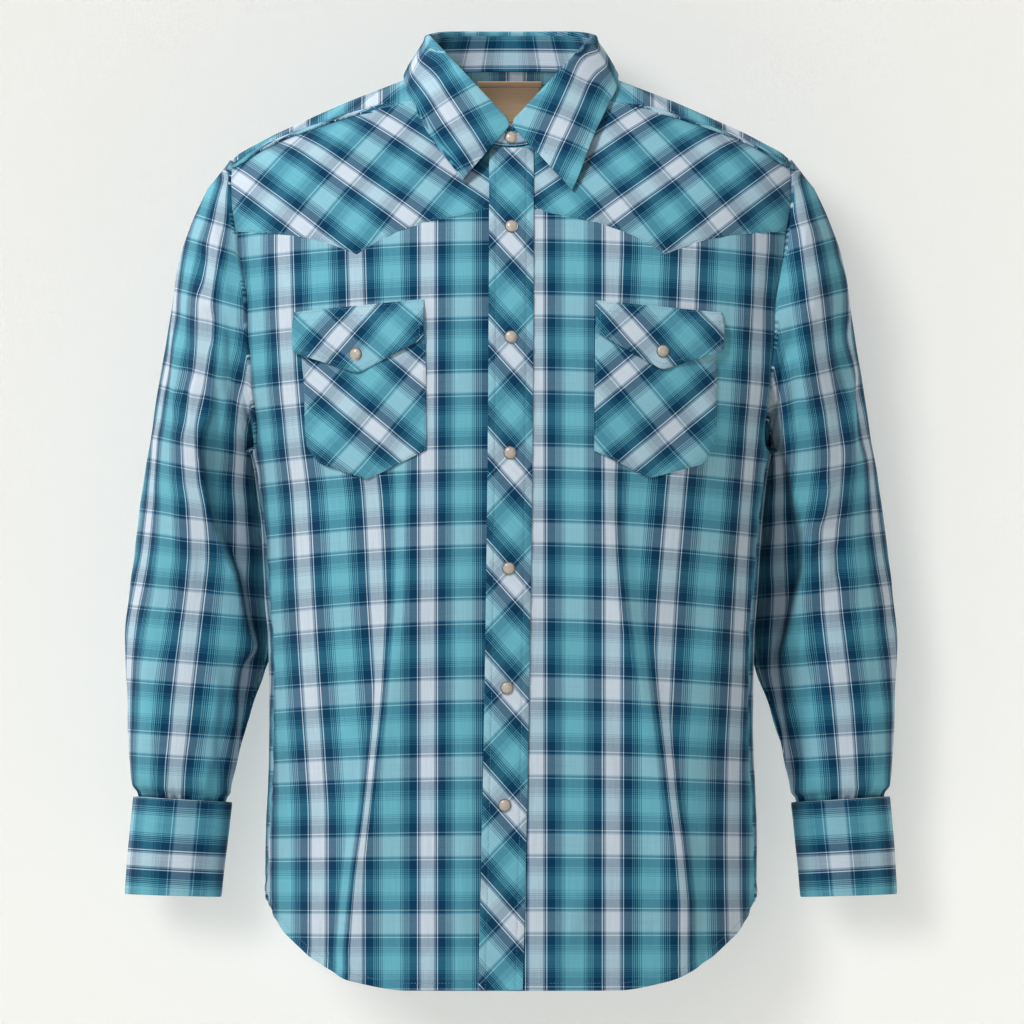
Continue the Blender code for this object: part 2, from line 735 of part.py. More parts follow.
def build_front_yoke(side):
    """Pointed yoke between the shoulder seam and a front."""
    bottom_x = front_seam_x(inner_edge_x(side, front_yoke_z(0.0)))
    south = [(x, shoulder_drop(x, front_yoke_z(abs(x)), -1)) for x in bottom_x]
    seam = shoulder_seam(-SHOULDER_GAP / 2)
    neck_end = neckline(0).z
    neck_x = inner_edge_x(side, neck_end)
    first_turn = math.degrees(math.asin(power(abs(neck_x) / NECK_HALF_WIDTH, 1 / NECK_SHAPE)))
    neck = [neck_shoulder(turn)
            for turn in spread(math.copysign(first_turn, neck_x), NECK_CORNER - NECK_CORNER_GAP,
                               FRONT_NECK_STEPS)]
    seam[0] = neck[-1]
    north = chain(neck, seam)
    east = [armhole_shoulder(turn)
            for turn in spread(-YOKE_ARMHOLE_TURN, SHOULDER_SEAM_TURN, YOKE_ROWS)]
    east[0], east[-1] = south[-1], north[-1]
    west_z = spread(front_yoke_z(0.0), neck_end, YOKE_ROWS)
    west = [(inner_edge_x(side, z), shoulder_drop(inner_edge_x(side, z), z, -1)) for z in west_z]
    west[0], west[-1] = south[0], north[0]
    grid = [[place_front(side, shoulder, a, b) for a, b in row]
            for row in patch(south, north, west, east)]
    add_sheet(f"front_yoke_{SIDE_NAMES[side]}", grid, WALL, BODY_MIDDLE, CLOTH_NAVY)


BACK_NECK_SPAN = 0.180     # half of the width under the neckline's columns


def back_seam_x():
    """x of the columns that the back shares with its yoke, from the wearer's left."""
    edge, _ = plan_point(*armhole_point(YOKE_ARMHOLE_TURN))
    return chain(spread(edge, BACK_NECK_SPAN, SEAM_STEPS),
                 spread(BACK_NECK_SPAN, -BACK_NECK_SPAN, BACK_NECK_STEPS),
                 spread(-BACK_NECK_SPAN, -edge, SEAM_STEPS))


def build_back():
    """Back below its yoke, with the longer tail."""
    north = []
    for x in back_seam_x():
        z = BACK_YOKE_Z(abs(x)) - SEAM_GAP
        north.append((180 - front_angle(x, z), z))
    low_side = [(SIDE_ANGLE(z) + SIDE_GAP, z) for z in spread(HEM_SIDE_Z, UNDERARM_Z, SIDE_ROWS)]
    arm = [armhole_point(turn) for turn in spread(180, YOKE_ARMHOLE_TURN, ARM_ROWS)]
    arm[0] = low_side[-1]
    west = chain(low_side, arm)
    west[-1] = north[0]
    east = [(360 - angle, z) for angle, z in west]
    east[-1] = north[-1]
    south = [(angle, HEM_Z(180 - abs(180 - angle)))
             for angle in spread(west[0][0], east[0][0], 2 * SEAM_STEPS + BACK_NECK_STEPS)]
    grid = [[torso(a, b) for a, b in row] for row in patch(south, north, west, east)]
    add_sheet("back", grid, WALL, BODY_MIDDLE)


def build_back_yoke():
    """Yoke over the back and forward over both shoulders."""
    south = [(x, shoulder_drop(x, BACK_YOKE_Z(abs(x)), 1)) for x in back_seam_x()]
    seam = shoulder_seam(SHOULDER_GAP / 2)
    neck = [neck_shoulder(turn)
            for turn in spread(NECK_CORNER + NECK_CORNER_GAP, 360 - NECK_CORNER - NECK_CORNER_GAP,
                               BACK_NECK_STEPS)]
    seam[0] = neck[0]
    far_seam = [(-x, drop) for x, drop in seam]
    north = chain(seam[::-1], neck, far_seam)
    west = [armhole_shoulder(turn)
            for turn in spread(YOKE_ARMHOLE_TURN, SHOULDER_SEAM_TURN, BACK_YOKE_ROWS)]
    west[0], west[-1] = south[0], north[0]
    east = [(-x, drop) for x, drop in west]
    east[0], east[-1] = south[-1], north[-1]
    grid = [[shoulder(a, b) for a, b in row] for row in patch(south, north, west, east)]
    add_sheet("back_yoke", grid, WALL, BODY_MIDDLE, CLOTH_NAVY)


# --- What lies on the fronts ----------------------------------------------------------

PLACKET_ROWS = 26
PLACKET_COLUMNS = 3
POCKET_COLUMNS = 3         # on each side of the point
POCKET_ROWS = 6
FLAP_ROWS = 4
POCKET_SPREAD = 0.001      # the mouth starts this much further out than the lower edge
FLAP_HINGE = 0.4           # share of a flap, from its top, over which it rises off the front


def build_placket():
    """Strip down the opening, on the wearer's left front."""
    grid = []
    for z in spread(PLACKET_BOTTOM_Z, PLACKET_TOP_Z, PLACKET_ROWS):
        middle = placket_centre(z)
        xs = spread(middle - PLACKET_HALF_WIDTH, middle + PLACKET_HALF_WIDTH, PLACKET_COLUMNS)
        grid.append([lifted(front, x, z, FIRST_LAYER) for x in xs])
    add_sheet("placket", grid, LAID_WALL, BODY_MIDDLE, CLOTH_NAVY)


def broken_line(points, x):
    """Height at x of straight runs between (x, z) points, in rising x."""
    for (x0, z0), (x1, z1) in zip(points, points[1:]):
        if x <= x1:
            return z0 + (z1 - z0) * (x - x0) / (x1 - x0)
    return points[-1][1]


def laid_grid(side, columns_x, bottom, top, rows, lift_at):
    """Points of a piece laid on a front; bottom and top give z at each column."""
    grid = []
    for j in range(rows + 1):
        s = j / rows
        row = []
        for k, (low_x, high_x) in enumerate(columns_x):
            x = low_x + (high_x - low_x) * s
            z = bottom[k] + (top[k] - bottom[k]) * s
            row.append(lifted(front, x * side, z, lift_at(s)))
        grid.append(row)
    return grid


def flap_lift(share):
    """Height of a flap's outer face; share is 0 at its lower edge and 1 at its top."""
    hinge = ease((share - 1 + FLAP_HINGE) / FLAP_HINGE)
    return SECOND_LAYER + (FIRST_LAYER - SECOND_LAYER) * hinge


def build_pocket(pocket):
    """Pocket and flap of one side."""
    low = chain(spread(pocket.inner, pocket.point_x, POCKET_COLUMNS),
                spread(pocket.point_x, pocket.outer_bottom, POCKET_COLUMNS))
    high = chain(spread(pocket.inner + POCKET_SPREAD, pocket.point_x, POCKET_COLUMNS),
                 spread(pocket.point_x, pocket.outer_top, POCKET_COLUMNS))
    outline = ((pocket.inner, pocket.inner_z), (pocket.point_x, pocket.point_z),
               (pocket.outer_bottom, pocket.outer_z))
    flap_top = ((pocket.flap_inner, pocket.flap_top_inner), (pocket.flap_outer, pocket.flap_top_outer))
    bottom = [broken_line(outline, x) for x in low]
    top = [broken_line(flap_top, x) - POCKET_TOP_DROP for x in high]
    grid = laid_grid(pocket.side, list(zip(low, high)), bottom, top, POCKET_ROWS,
                     lambda s: FIRST_LAYER)
    add_sheet(f"pocket_{SIDE_NAMES[pocket.side]}", grid, LAID_WALL, BODY_MIDDLE, CLOTH_NAVY)

    xs = chain(spread(pocket.flap_inner, pocket.flap_point_x, POCKET_COLUMNS),
               spread(pocket.flap_point_x, pocket.flap_outer, POCKET_COLUMNS))
    edge = ((pocket.flap_inner, pocket.flap_inner_z), (pocket.flap_point_x, pocket.flap_point_z),
            (pocket.flap_outer, pocket.flap_outer_z))
    bottom = [broken_line(edge, x) for x in xs]
    top = [broken_line(flap_top, x) for x in xs]
    grid = laid_grid(pocket.side, list(zip(xs, xs)), bottom, top, FLAP_ROWS, flap_lift)
    add_sheet(f"pocket_flap_{SIDE_NAMES[pocket.side]}", grid, LAID_WALL, BODY_MIDDLE, CLOTH_TEAL)


def add_snap(name, base, normal):
    """Pearl snap cap, turned about its axis, with its flat back at base."""
    profile = ((0.0, SNAP_HEIGHT), (0.55 * SNAP_RADIUS, 0.90 * SNAP_HEIGHT),
               (0.85 * SNAP_RADIUS, 0.62 * SNAP_HEIGHT), (SNAP_RADIUS, 0.38 * SNAP_HEIGHT),
               (SNAP_RADIUS, 0.0), (0.0, 0.0))
    mesh = bpy.data.meshes.new(name)
    mesh.from_pydata([(r, 0.0, h) for r, h in profile],
                     [(i, i + 1) for i in range(len(profile) - 1)], [])
    piece = add_object(name, mesh, PEARL, 0.25)
    turned = piece.modifiers.new("turned", "SCREW")
    turned.steps = SNAP_STEPS
    turned.render_steps = SNAP_STEPS
    turned.use_merge_vertices = True
    turned.merge_threshold = 0.00001
    piece.location = base
    piece.rotation_euler = normal.to_track_quat("Z", "Y").to_euler()


def snap_on(name, surface, a, b, lift):
    """Snap on a piece whose outer face is lifted above a surface."""
    on_face = lifted(surface, a, b, lift)
    normal = (lifted(surface, a, b, 0.01) - surface(a, b)).normalized()
    add_snap(name, on_face + normal * SNAP_GAP, normal)


def build_front_snaps():
    """Snaps down the placket and on the flaps."""
    for number, z in enumerate(FRONT_SNAP_Z, start=1):
        snap_on(f"snap_front_{number}", front, placket_centre(z), z, FIRST_LAYER)
    for pocket in POCKETS:
        snap_on(f"snap_flap_{SIDE_NAMES[pocket.side]}", front,
                pocket.snap_x * pocket.side, pocket.snap_z, SECOND_LAYER)


# --- Sleeves and cuffs ----------------------------------------------------------------

def ring_point(ring, turn, middle_y, depth):
    """Point of a slanted oval section."""
    angle = math.radians(turn)
    middle = Vector((ring.outer_x + ring.inner_x, 0.0, ring.outer_z + ring.inner_z)) / 2
    reach = Vector((ring.outer_x - ring.inner_x, 0.0, ring.outer_z - ring.inner_z)) / 2
    point = middle + reach * math.cos(angle)
    point.y = middle_y + depth * math.sin(angle)
    return point


def sleeve_fold_height(turn, ring):
    """Height of the sleeve's folds at a turn and a ring number."""
    total = 0.0
    for fold in SLEEVE_FOLDS:
        around = (turn - fold.turn0 + 180) % 360 - 180
        run = Vector(((fold.turn1 - fold.turn0) / DEGREES_PER_RING, fold.ring1 - fold.ring0))
        here = Vector((around / DEGREES_PER_RING, ring - fold.ring0))
        along = min(max(here.dot(run) / run.length_squared, 0.0), 1.0)
        across = (here - run * along).length / fold.reach
        if across < 1.0:
            total += fold.height * (1 - across ** 2) ** 2
    return total


def sleeve_rest(turn, ring):
    """Left sleeve without folds; ring 0 is just outside the armhole."""
    index = min(int(ring), len(SLEEVE_RINGS) - 1)
    share = ring - index
    points = []
    for number in (index, min(index + 1, len(SLEEVE_RINGS))):
        if number == 0:
            angle, z = armhole_point(turn)
            points.append(torso(angle, z) + Vector(ARMHOLE_GAP))
        else:
            row = SLEEVE_RINGS[number - 1]
            points.append(ring_point(row, turn, row.middle_y, row.depth))
    return points[0].lerp(points[1], share)


def sleeve(turn, ring):
    """Left sleeve's outer face."""
    here = sleeve_rest(turn, ring)
    around = sleeve_rest(turn + 4, ring) - sleeve_rest(turn - 4, ring)
    down = sleeve_rest(turn, min(ring + 0.5, len(SLEEVE_RINGS))) - sleeve_rest(turn, max(ring - 0.5, 0))
    normal = down.cross(around).normalized()
    fade = ease(ring / 1.5) * ease((len(SLEEVE_RINGS) - ring) / 1.5)
    return here + normal * sleeve_fold_height(turn, ring) * fade


SLIT_RINGS = (len(SLEEVE_RINGS) - 0.35, len(SLEEVE_RINGS) - 4.2)   # lower and upper end
SLIT_TURNS = (68.0, 98.0)
SLIT_ROWS = 7
SLIT_COLUMNS = 2
SLEEVE_MIDDLE = Vector((0.262, 0.030, -0.35))
FOREARM_MIDDLE = Vector((0.275, 0.045, -0.53))
WRIST_MIDDLE = Vector((0.282, CUFF_MIDDLE_Y, -0.635))


def build_sleeve(side):
    """Sleeve from the armhole to the cuff."""
    turns = [360 * i / RING_STEPS for i in range(RING_STEPS)]
    grid = [[mirrored(sleeve(turn, ring), side) for turn in turns]
            for ring in range(len(SLEEVE_RINGS) + 1)]
    add_sheet(f"sleeve_{SIDE_NAMES[side]}", grid, WALL, mirrored(SLEEVE_MIDDLE, side), closed=True)


def build_sleeve_placket(side):
    """Strip over the slit at the back of the sleeve, above the cuff."""
    grid = []
    for ring in spread(*SLIT_RINGS, SLIT_ROWS):
        row = []
        for turn in spread(*SLIT_TURNS, SLIT_COLUMNS):
            here = sleeve(turn, ring)
            around = sleeve(turn + 2, ring) - sleeve(turn - 2, ring)
            down = sleeve(turn, ring + 0.1) - sleeve(turn, ring - 0.1)
            normal = down.cross(around).normalized()
            row.append(mirrored(here + normal * FIRST_LAYER, side))
        grid.append(row)
    add_sheet(f"sleeve_placket_{SIDE_NAMES[side]}", grid, LAID_WALL,
              mirrored(FOREARM_MIDDLE, side), CLOTH_NAVY)


def cuff(turn, row, spread_out):
    """Left cuff's outer face, moved out by spread_out."""
    ring = CUFF_RINGS[row]
    point = ring_point(ring, turn, CUFF_MIDDLE_Y, CUFF_DEPTH)
    angle = math.radians(turn)
    half = (ring.outer_x - ring.inner_x) / 2
    away = Vector((math.cos(angle) / half, math.sin(angle) / CUFF_DEPTH, 0.0)).normalized()
    return point + away * spread_out


def build_cuff(side):
    """Band round the wrist, whose ends lap at the back."""
    grid = []
    for row in range(len(CUFF_RINGS)):
        line = []
        for share in spread(0.0, 1.0, CUFF_STEPS):
            turn = CUFF_LAP_START + (360 + CUFF_LAP) * share
            line.append(mirrored(cuff(turn, row, CUFF_SPREAD * (2 * share - 1)), side))
        grid.append(line)
    add_sheet(f"cuff_{SIDE_NAMES[side]}", grid, WALL, mirrored(WRIST_MIDDLE, side), CLOTH_NAVY)
    turn = CUFF_LAP_START + CUFF_LAP / 2
    for number, row in enumerate((1, 2), start=1):
        face = cuff(turn, row, CUFF_SPREAD)
        normal = (cuff(turn, row, 0.01) - cuff(turn, row, 0.0)).normalized()
        add_snap(f"snap_cuff_{SIDE_NAMES[side]}_{number}",
                 mirrored(face + normal * SNAP_GAP, side), mirrored(normal, side))


# --- Collar ---------------------------------------------------------------------------

def neck_outward(turn):
    """Level direction that points out of the neck at a turn."""
    angle = math.radians(turn)
    reach = NECK_FRONT if math.cos(angle) > 0 else NECK_BACK
    return Vector((math.sin(angle) / NECK_HALF_WIDTH, -math.cos(angle) / reach, 0.0)).normalized()


def fold_line(turn):
    """Top line over which the collar leaf folds."""
    angle = math.radians(turn)
    reach = FOLD_FRONT if math.cos(angle) > 0 else FOLD_BACK
    x = FOLD_HALF_WIDTH * power(math.sin(angle), FOLD_SHAPE)
    aside = abs(x) / FOLD_HALF_WIDTH
    if math.cos(angle) > 0:
        z = FOLD_FRONT_Z + (FOLD_SIDE_Z - FOLD_FRONT_Z) * aside
    else:
        z = FOLD_SIDE_Z + (FOLD_BACK_Z - FOLD_SIDE_Z) * (1 - aside ** FOLD_BACK_LEVEL)
    return Vector((x, -reach * math.cos(angle), z))


def stand_spread(turn):
    """Step out of the stand's upper end and in of its lower end."""
    if turn < FRONT_TURN:
        return STAND_SPREAD * ease((FRONT_TURN - turn) / FRONT_TURN)
    return -STAND_SPREAD * ease((turn - 360 + FRONT_TURN) / FRONT_TURN)


def stand(turn, share):
    """Collar stand's outer face; share is 0 at the neckline and 1 at its top."""
    low = neckline(turn) + Vector((0.0, 0.0, STAND_ABOVE_SEAM))
    high = fold_line(turn) - Vector((0.0, 0.0, STAND_BELOW_FOLD))
    past = max(-turn, turn - 360, 0.0) / STAND_LAP
    high.z -= STAND_END_DROP * past ** 2
    return low.lerp(high, share) + neck_outward(turn) * stand_spread(turn)


LAP_STEPS = 2
FRONT_STEPS = 5
NECK_STEPS = 18
STAND_ROWS = 3


def build_stand():
    """Band round the neck, whose ends lap at centre front."""
    turns = chain(spread(-STAND_LAP, 0, LAP_STEPS), spread(0, FRONT_TURN, FRONT_STEPS),
                  spread(FRONT_TURN, 360 - FRONT_TURN, NECK_STEPS),
                  spread(360 - FRONT_TURN, 360, FRONT_STEPS), spread(360, 360 + STAND_LAP, LAP_STEPS))
    grid = [[stand(turn, share) for turn in turns] for share in spread(0.0, 1.0, STAND_ROWS)]
    add_sheet("collar_stand", grid, WALL, NECK_MIDDLE, CLOTH_NAVY)


def leaf_edge(turn):
    """Outer edge of the leaf."""
    from_front = min(turn, 360 - turn)
    near_tip = ease(1 - from_front / FRONT_TURN)
    point = Vector((LEAF_X(from_front), LEAF_Y(from_front), LEAF_Z(from_front)))
    if turn > 180:
        return Vector((-point.x + LEAF_TIP_SHIFT_X * near_tip, point.y,
                       point.z + LEAF_TIP_SHIFT_Z * near_tip))
    return Vector((point.x + LEAF_TIP_SHIFT_X * near_tip, point.y,
                   point.z - LEAF_TIP_SHIFT_Z * near_tip))


class RollPoint(NamedTuple):
    """Point of the leaf's fold: out from the fold line, and up from it."""
    out: float
    up: float


LEAF_ROLL = (RollPoint(-0.0006, -0.0012), RollPoint(0.0014, 0.0), RollPoint(0.0036, -0.0014),
             RollPoint(0.0056, -0.0062))
LEAF_BULGE = 0.0035
LEAF_SHARES = (0.3, 0.65, 1.0)         # rows between the roll and the outer edge
LEAF_START = 1.5           # turn at which the leaf's front edges stand


def leaf_line(turn):
    """Points of the leaf from the stand over the fold to the outer edge."""
    top = fold_line(turn)
    away = neck_outward(turn)
    line = [top + away * roll.out + Vector((0.0, 0.0, roll.up)) for roll in LEAF_ROLL]
    start, end = line[-1], leaf_edge(turn)
    for share in LEAF_SHARES:
        line.append(start.lerp(end, share) + away * LEAF_BULGE * math.sin(math.pi * share))
    return line


def build_leaf():
    """Leaf that folds over the stand and ends in two points."""
    turns = chain(spread(LEAF_START, FRONT_TURN, FRONT_STEPS),
                  spread(FRONT_TURN, 360 - FRONT_TURN, NECK_STEPS),
                  spread(360 - FRONT_TURN, 360 - LEAF_START, FRONT_STEPS))
    grid = [list(row) for row in zip(*(leaf_line(turn) for turn in turns))]
    add_sheet("collar_leaf", grid, LAID_WALL, NECK_MIDDLE, CLOTH_TEAL)


def build_stand_snap():
    """Snap on the stand's upper end."""
    low, high = stand(0.0, 0.0), stand(0.0, 1.0)
    share = (STAND_SNAP_Z - low.z) / (high.z - low.z)
    normal = Vector((1.0, 0.0, 0.0)).cross(high - low).normalized()
    add_snap("snap_stand", low.lerp(high, share) + normal * SNAP_GAP, normal)


class Tab(NamedTuple):
    """Woven tab inside the back neck."""
    name: str
    left: float
    right: float
    top: float
    bottom: float
    columns: int
    colour: tuple


TABS = (
    Tab("neck_label", -0.0290, 0.0262, 0.0166, -0.0215, 3, LABEL_TAN),
    Tab("care_label", 0.0430, 0.0570, 0.0205, -0.0060, 1, TAPE_CREAM),
)
TAB_DEPTH = 0.0030         # outer face of a tab, behind the yoke's outer face
TAB_WALL = 0.0010
TAB_ROWS = 3
BEFORE_CHEST = Vector((0.0, -0.10, -0.10))


def build_tabs():
    """Bare tabs inside the back yoke."""
    for tab in TABS:
        grid = []
        for z in spread(tab.bottom, tab.top, TAB_ROWS):
            row = []
            for x in spread(tab.left, tab.right, tab.columns):
                drop = shoulder_drop(x, z, 1)
                here = shoulder(x, drop)
                across = shoulder(x + 0.002, drop) - shoulder(x - 0.002, drop)
                down = shoulder(x, drop + 0.01) - shoulder(x, drop - 0.01)
                row.append(here - across.cross(down).normalized() * TAB_DEPTH)
            grid.append(row)
        add_sheet(tab.name, grid, TAB_WALL, BEFORE_CHEST, tab.colour)


def main():
    """Build the shirt from an empty scene."""
    for old in list(bpy.data.objects):
        bpy.data.objects.remove(old, do_unlink=True)
    shirt = bpy.data.collections.new(COLLECTION_NAME)
    bpy.context.scene.collection.children.link(shirt)
    for side in (1, -1):
        build_front(side)
        build_front_yoke(side)
        build_sleeve(side)
        build_sleeve_placket(side)
        build_cuff(side)
    build_back()
    build_back_yoke()
    build_placket()
    for pocket in POCKETS:
        build_pocket(pocket)
    build_front_snaps()
    build_stand()
    build_leaf()
    build_stand_snap()
    build_tabs()


main()
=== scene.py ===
"""Western snap shirt: cloth sheets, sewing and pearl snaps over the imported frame.

Metres, +Z up, +X towards the wearer's left, +Y towards the wearer's back.
"""

import logging
import math
from dataclasses import dataclass, field
from enum import Enum
from typing import Callable, Mapping, NamedTuple, Sequence

import bpy
import numpy as np
from bpy.types import Collection, Material, Node, NodeSocket, NodeTree, Object
from mathutils import Euler, Matrix, Vector


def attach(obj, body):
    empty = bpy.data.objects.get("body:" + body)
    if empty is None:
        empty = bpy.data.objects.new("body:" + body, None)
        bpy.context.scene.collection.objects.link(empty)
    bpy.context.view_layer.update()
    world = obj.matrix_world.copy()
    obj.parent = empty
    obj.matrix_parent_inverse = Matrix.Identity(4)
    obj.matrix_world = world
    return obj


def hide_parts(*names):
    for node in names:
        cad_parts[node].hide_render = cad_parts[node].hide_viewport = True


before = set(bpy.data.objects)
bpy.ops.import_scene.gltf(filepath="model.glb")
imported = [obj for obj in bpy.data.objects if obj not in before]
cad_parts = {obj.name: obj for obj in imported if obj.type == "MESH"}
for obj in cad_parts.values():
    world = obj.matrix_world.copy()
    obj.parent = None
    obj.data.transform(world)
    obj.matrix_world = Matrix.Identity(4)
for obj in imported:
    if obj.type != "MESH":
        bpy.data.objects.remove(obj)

LOG = logging.getLogger("western_snap_shirt")
MM = 0.001
UV_NAME = "cloth"
Array = np.ndarray
Row = tuple[float, ...]
Shade = tuple[float, float, float]
Stop = tuple[float, Shade]
Places = dict[str, tuple[Array, Array]]


class Side(Enum):
    """Side of the wearer."""

    LEFT = 1
    RIGHT = -1

    @property
    def tag(self) -> str:
        """Name used in piece names."""
        return self.name.lower()


class Held(Enum):
    """How a sheet of cloth is held."""

    HUNG = "hung"
    LAID = "laid"
    FOLDED = "folded"


# --- Lines and small helpers ---


class Curve:
    """A smooth line through (key, value) pairs that never overshoots them."""

    def __init__(self, pairs: Sequence[tuple[float, float]]) -> None:
        """Sort the pairs and find a slope at each.

        Args:
            pairs: key and value of each point.
        """
        self.keys, self.values = np.array(sorted(pairs), float).T
        steps = np.diff(self.values) / np.diff(self.keys)
        before, after = steps[:-1], steps[1:]
        both = before * after > 0
        mean = np.where(both, 2 * before * after / np.where(both, before + after, 1.0), 0.0)
        self.slopes = np.concatenate((steps[:1], mean, steps[-1:]))

    def __call__(self, at: Array) -> Array:
        """Value at each key."""
        at = np.clip(np.asarray(at, float), self.keys[0], self.keys[-1])
        i = np.clip(np.searchsorted(self.keys, at, side="right") - 1, 0, len(self.keys) - 2)
        span = self.keys[i + 1] - self.keys[i]
        t = (at - self.keys[i]) / span
        rise = t * t * (3 - 2 * t)
        return (self.values[i] * (1 - rise) + self.values[i + 1] * rise
                + span * t * (1 - t) * ((1 - t) * self.slopes[i] - t * self.slopes[i + 1]))


def table(*rows: Row, plain: int = 0) -> tuple[Row, ...]:
    """Rows in metres, from millimetres.

    Args:
        rows: the table.
        plain: how many columns at the left have units of their own and stay.

    Returns:
        The table in metres.
    """
    return tuple(row[:plain] + tuple(value / 1000 for value in row[plain:]) for row in rows)


def power(value: Array, exponent: float) -> Array:
    """Raise a number's size to a power and keep its sign."""
    return np.copysign(np.abs(value) ** exponent, value)


def ease(t: Array) -> Array:
    """Smooth step from 0 to 1."""
    t = np.clip(t, 0.0, 1.0)
    return t * t * (3 - 2 * t)


def unit(v: Array) -> Array:
    """Vectors at length one."""
    return v / np.maximum(np.linalg.norm(v, axis=-1, keepdims=True), 1e-12)


def pair(a: Array, b: Array) -> Array:
    """Stack two coordinates."""
    return np.stack(np.broadcast_arrays(a, b), axis=-1)


def split(p: Array) -> Array:
    """Coordinates of points, each in an array of its own."""
    return np.moveaxis(p, -1, 0)


def steps(p: Array, axis: int = 0) -> Array:
    """Distances between neighbouring points."""
    return np.linalg.norm(np.diff(p, axis=axis), axis=-1)


def running(step: Array, axis: int = -1) -> Array:
    """Running total of steps, from 0."""
    return np.concatenate((0 * np.take(step, [0], axis), np.cumsum(step, axis)), axis)


def groove(distance: Array, at: float, width: float) -> Array:
    """1 along a line at a distance from an edge, and 0 away from it."""
    return np.exp(-((distance - at) / width) ** 2)


def rolled(distance: Array, reach: float) -> Array:
    """1 at an edge, dying out away from it."""
    return np.exp(-np.maximum(distance, 0) / reach)


def add_object(name: str, data: bpy.types.ID) -> Object:
    """Put a mesh, light or camera into the scene."""
    item = bpy.data.objects.new(name, data)
    bpy.context.scene.collection.objects.link(item)
    return item


def round_edges(piece: Object, name: str, width: float, segments: int, sharp: float) -> None:
    """Add a bevel to the edges that are sharper than an angle."""
    soften = piece.modifiers.new(name, "BEVEL")
    soften.width, soften.segments = width, segments
    soften.limit_method, soften.angle_limit = "ANGLE", sharp


def runs(stops: Sequence[float], counts: Sequence[int]) -> Array:
    """Numbers through all stops, with evenly spaced ones in between.

    Args:
        stops: numbers in rising order.
        counts: how many steps each stretch between two stops takes.

    Returns:
        All numbers, each stop once.
    """
    parts = [np.linspace(a, b, n, endpoint=False) for a, b, n in zip(stops, stops[1:], counts)]
    return np.concatenate(parts + [np.array([stops[-1]])])


def points(x: Array, y: Array, z: Array) -> Array:
    """Stack three coordinates."""
    return np.stack(np.broadcast_arrays(x, y, z), axis=-1)


def coons(south: Array, north: Array, west: Array, east: Array,
          t: Array, s: Array) -> Array:
    """Coons patch between four rows of points that share their corners.

    Args:
        south: first row, one point for each t.
        north: last row.
        west: first column, one point for each s.
        east: last column.
        t: shares along the rows.
        s: shares along the columns.

    Returns:
        Points as rows by columns.
    """
    tt, ss = t[None, :, None], s[:, None, None]
    return ((1 - ss) * south[None] + ss * north[None] + (1 - tt) * west[:, None] + tt * east[:, None]
            - (1 - ss) * ((1 - tt) * south[0] + tt * south[-1])
            - ss * ((1 - tt) * north[0] + tt * north[-1]))


def curves(rows: Sequence[Row]) -> list[Curve]:
    """A curve for each column of a table but the first, which holds the keys."""
    return [Curve([(row[0], row[c]) for row in rows]) for c in range(1, len(rows[0]))]


def oval(turn: Array, outer_x: Array, outer_z: Array, inner_x: Array, inner_z: Array, middle_y: Array,
         depth: Array) -> Array:
    """Points of slanted rings at turns in degrees."""
    c, s = np.cos(np.radians(turn)), np.sin(np.radians(turn))
    return points((outer_x + inner_x) / 2 + (outer_x - inner_x) / 2 * c, middle_y + depth * s,
                  (outer_z + inner_z) / 2 + (outer_z - inner_z) / 2 * c)


class Ripple:
    """Gentle unevenness of cloth that has been worn and washed."""

    def __init__(self, seed: int, waves: int = 14, short: float = 0.030, long: float = 0.140) -> None:
        """Choose the waves.

        Args:
            seed: picks one set of waves.
            waves: how many are added up.
            short: shortest wave in metres.
            long: longest wave in metres.
        """
        rng = np.random.default_rng(seed)
        length = np.exp(rng.uniform(math.log(short), math.log(long), waves))
        heading = rng.uniform(0, math.pi, waves)
        self.kx = 2 * math.pi / length * np.cos(heading)
        self.ky = 2 * math.pi / length * np.sin(heading)
        self.phase = rng.uniform(0, 2 * math.pi, waves)
        self.weight = (length / long) / waves * 2.2

    def __call__(self, a: Array, b: Array) -> Array:
        """Height from about -1 to 1 at cloth coordinates in metres."""
        total = np.zeros(np.broadcast(a, b).shape)
        for kx, ky, phase, weight in zip(self.kx, self.ky, self.phase, self.weight):
            total = total + weight * np.sin(kx * a + ky * b + phase + 0.8 * np.sin(0.37 * ky * a))
        return total


def pucker(distance: Array, along: Array, wave: float, reach: float, phase: float = 0.0) -> Array:
    """Small gathers beside a sewn edge.

    Args:
        distance: how far each point is from the edge, in metres.
        along: place along the edge, in metres.
        wave: length of one gather.
        reach: distance over which the gathers die out.
        phase: shifts the gathers along the edge.

    Returns:
        Height from -1 to 1.
    """
    wobble = 1.7 * np.sin(along / wave * 1.9 + phase) + 1.1 * np.sin(along / wave * 0.83 + 2 * phase)
    return np.sin(2 * math.pi * along / wave + wobble + phase) * np.exp(-np.abs(distance) / reach)


# --- The body's form ---


class Fold(NamedTuple):
    """Soft ridge (or trough, if its height is negative) from one point to another."""

    x0: float
    z0: float
    x1: float
    z1: float
    reach: float
    height: float


def folds(*rows: Row) -> tuple[Fold, ...]:
    """Folds from rows in millimetres."""
    return tuple(Fold(*row) for row in table(*rows))


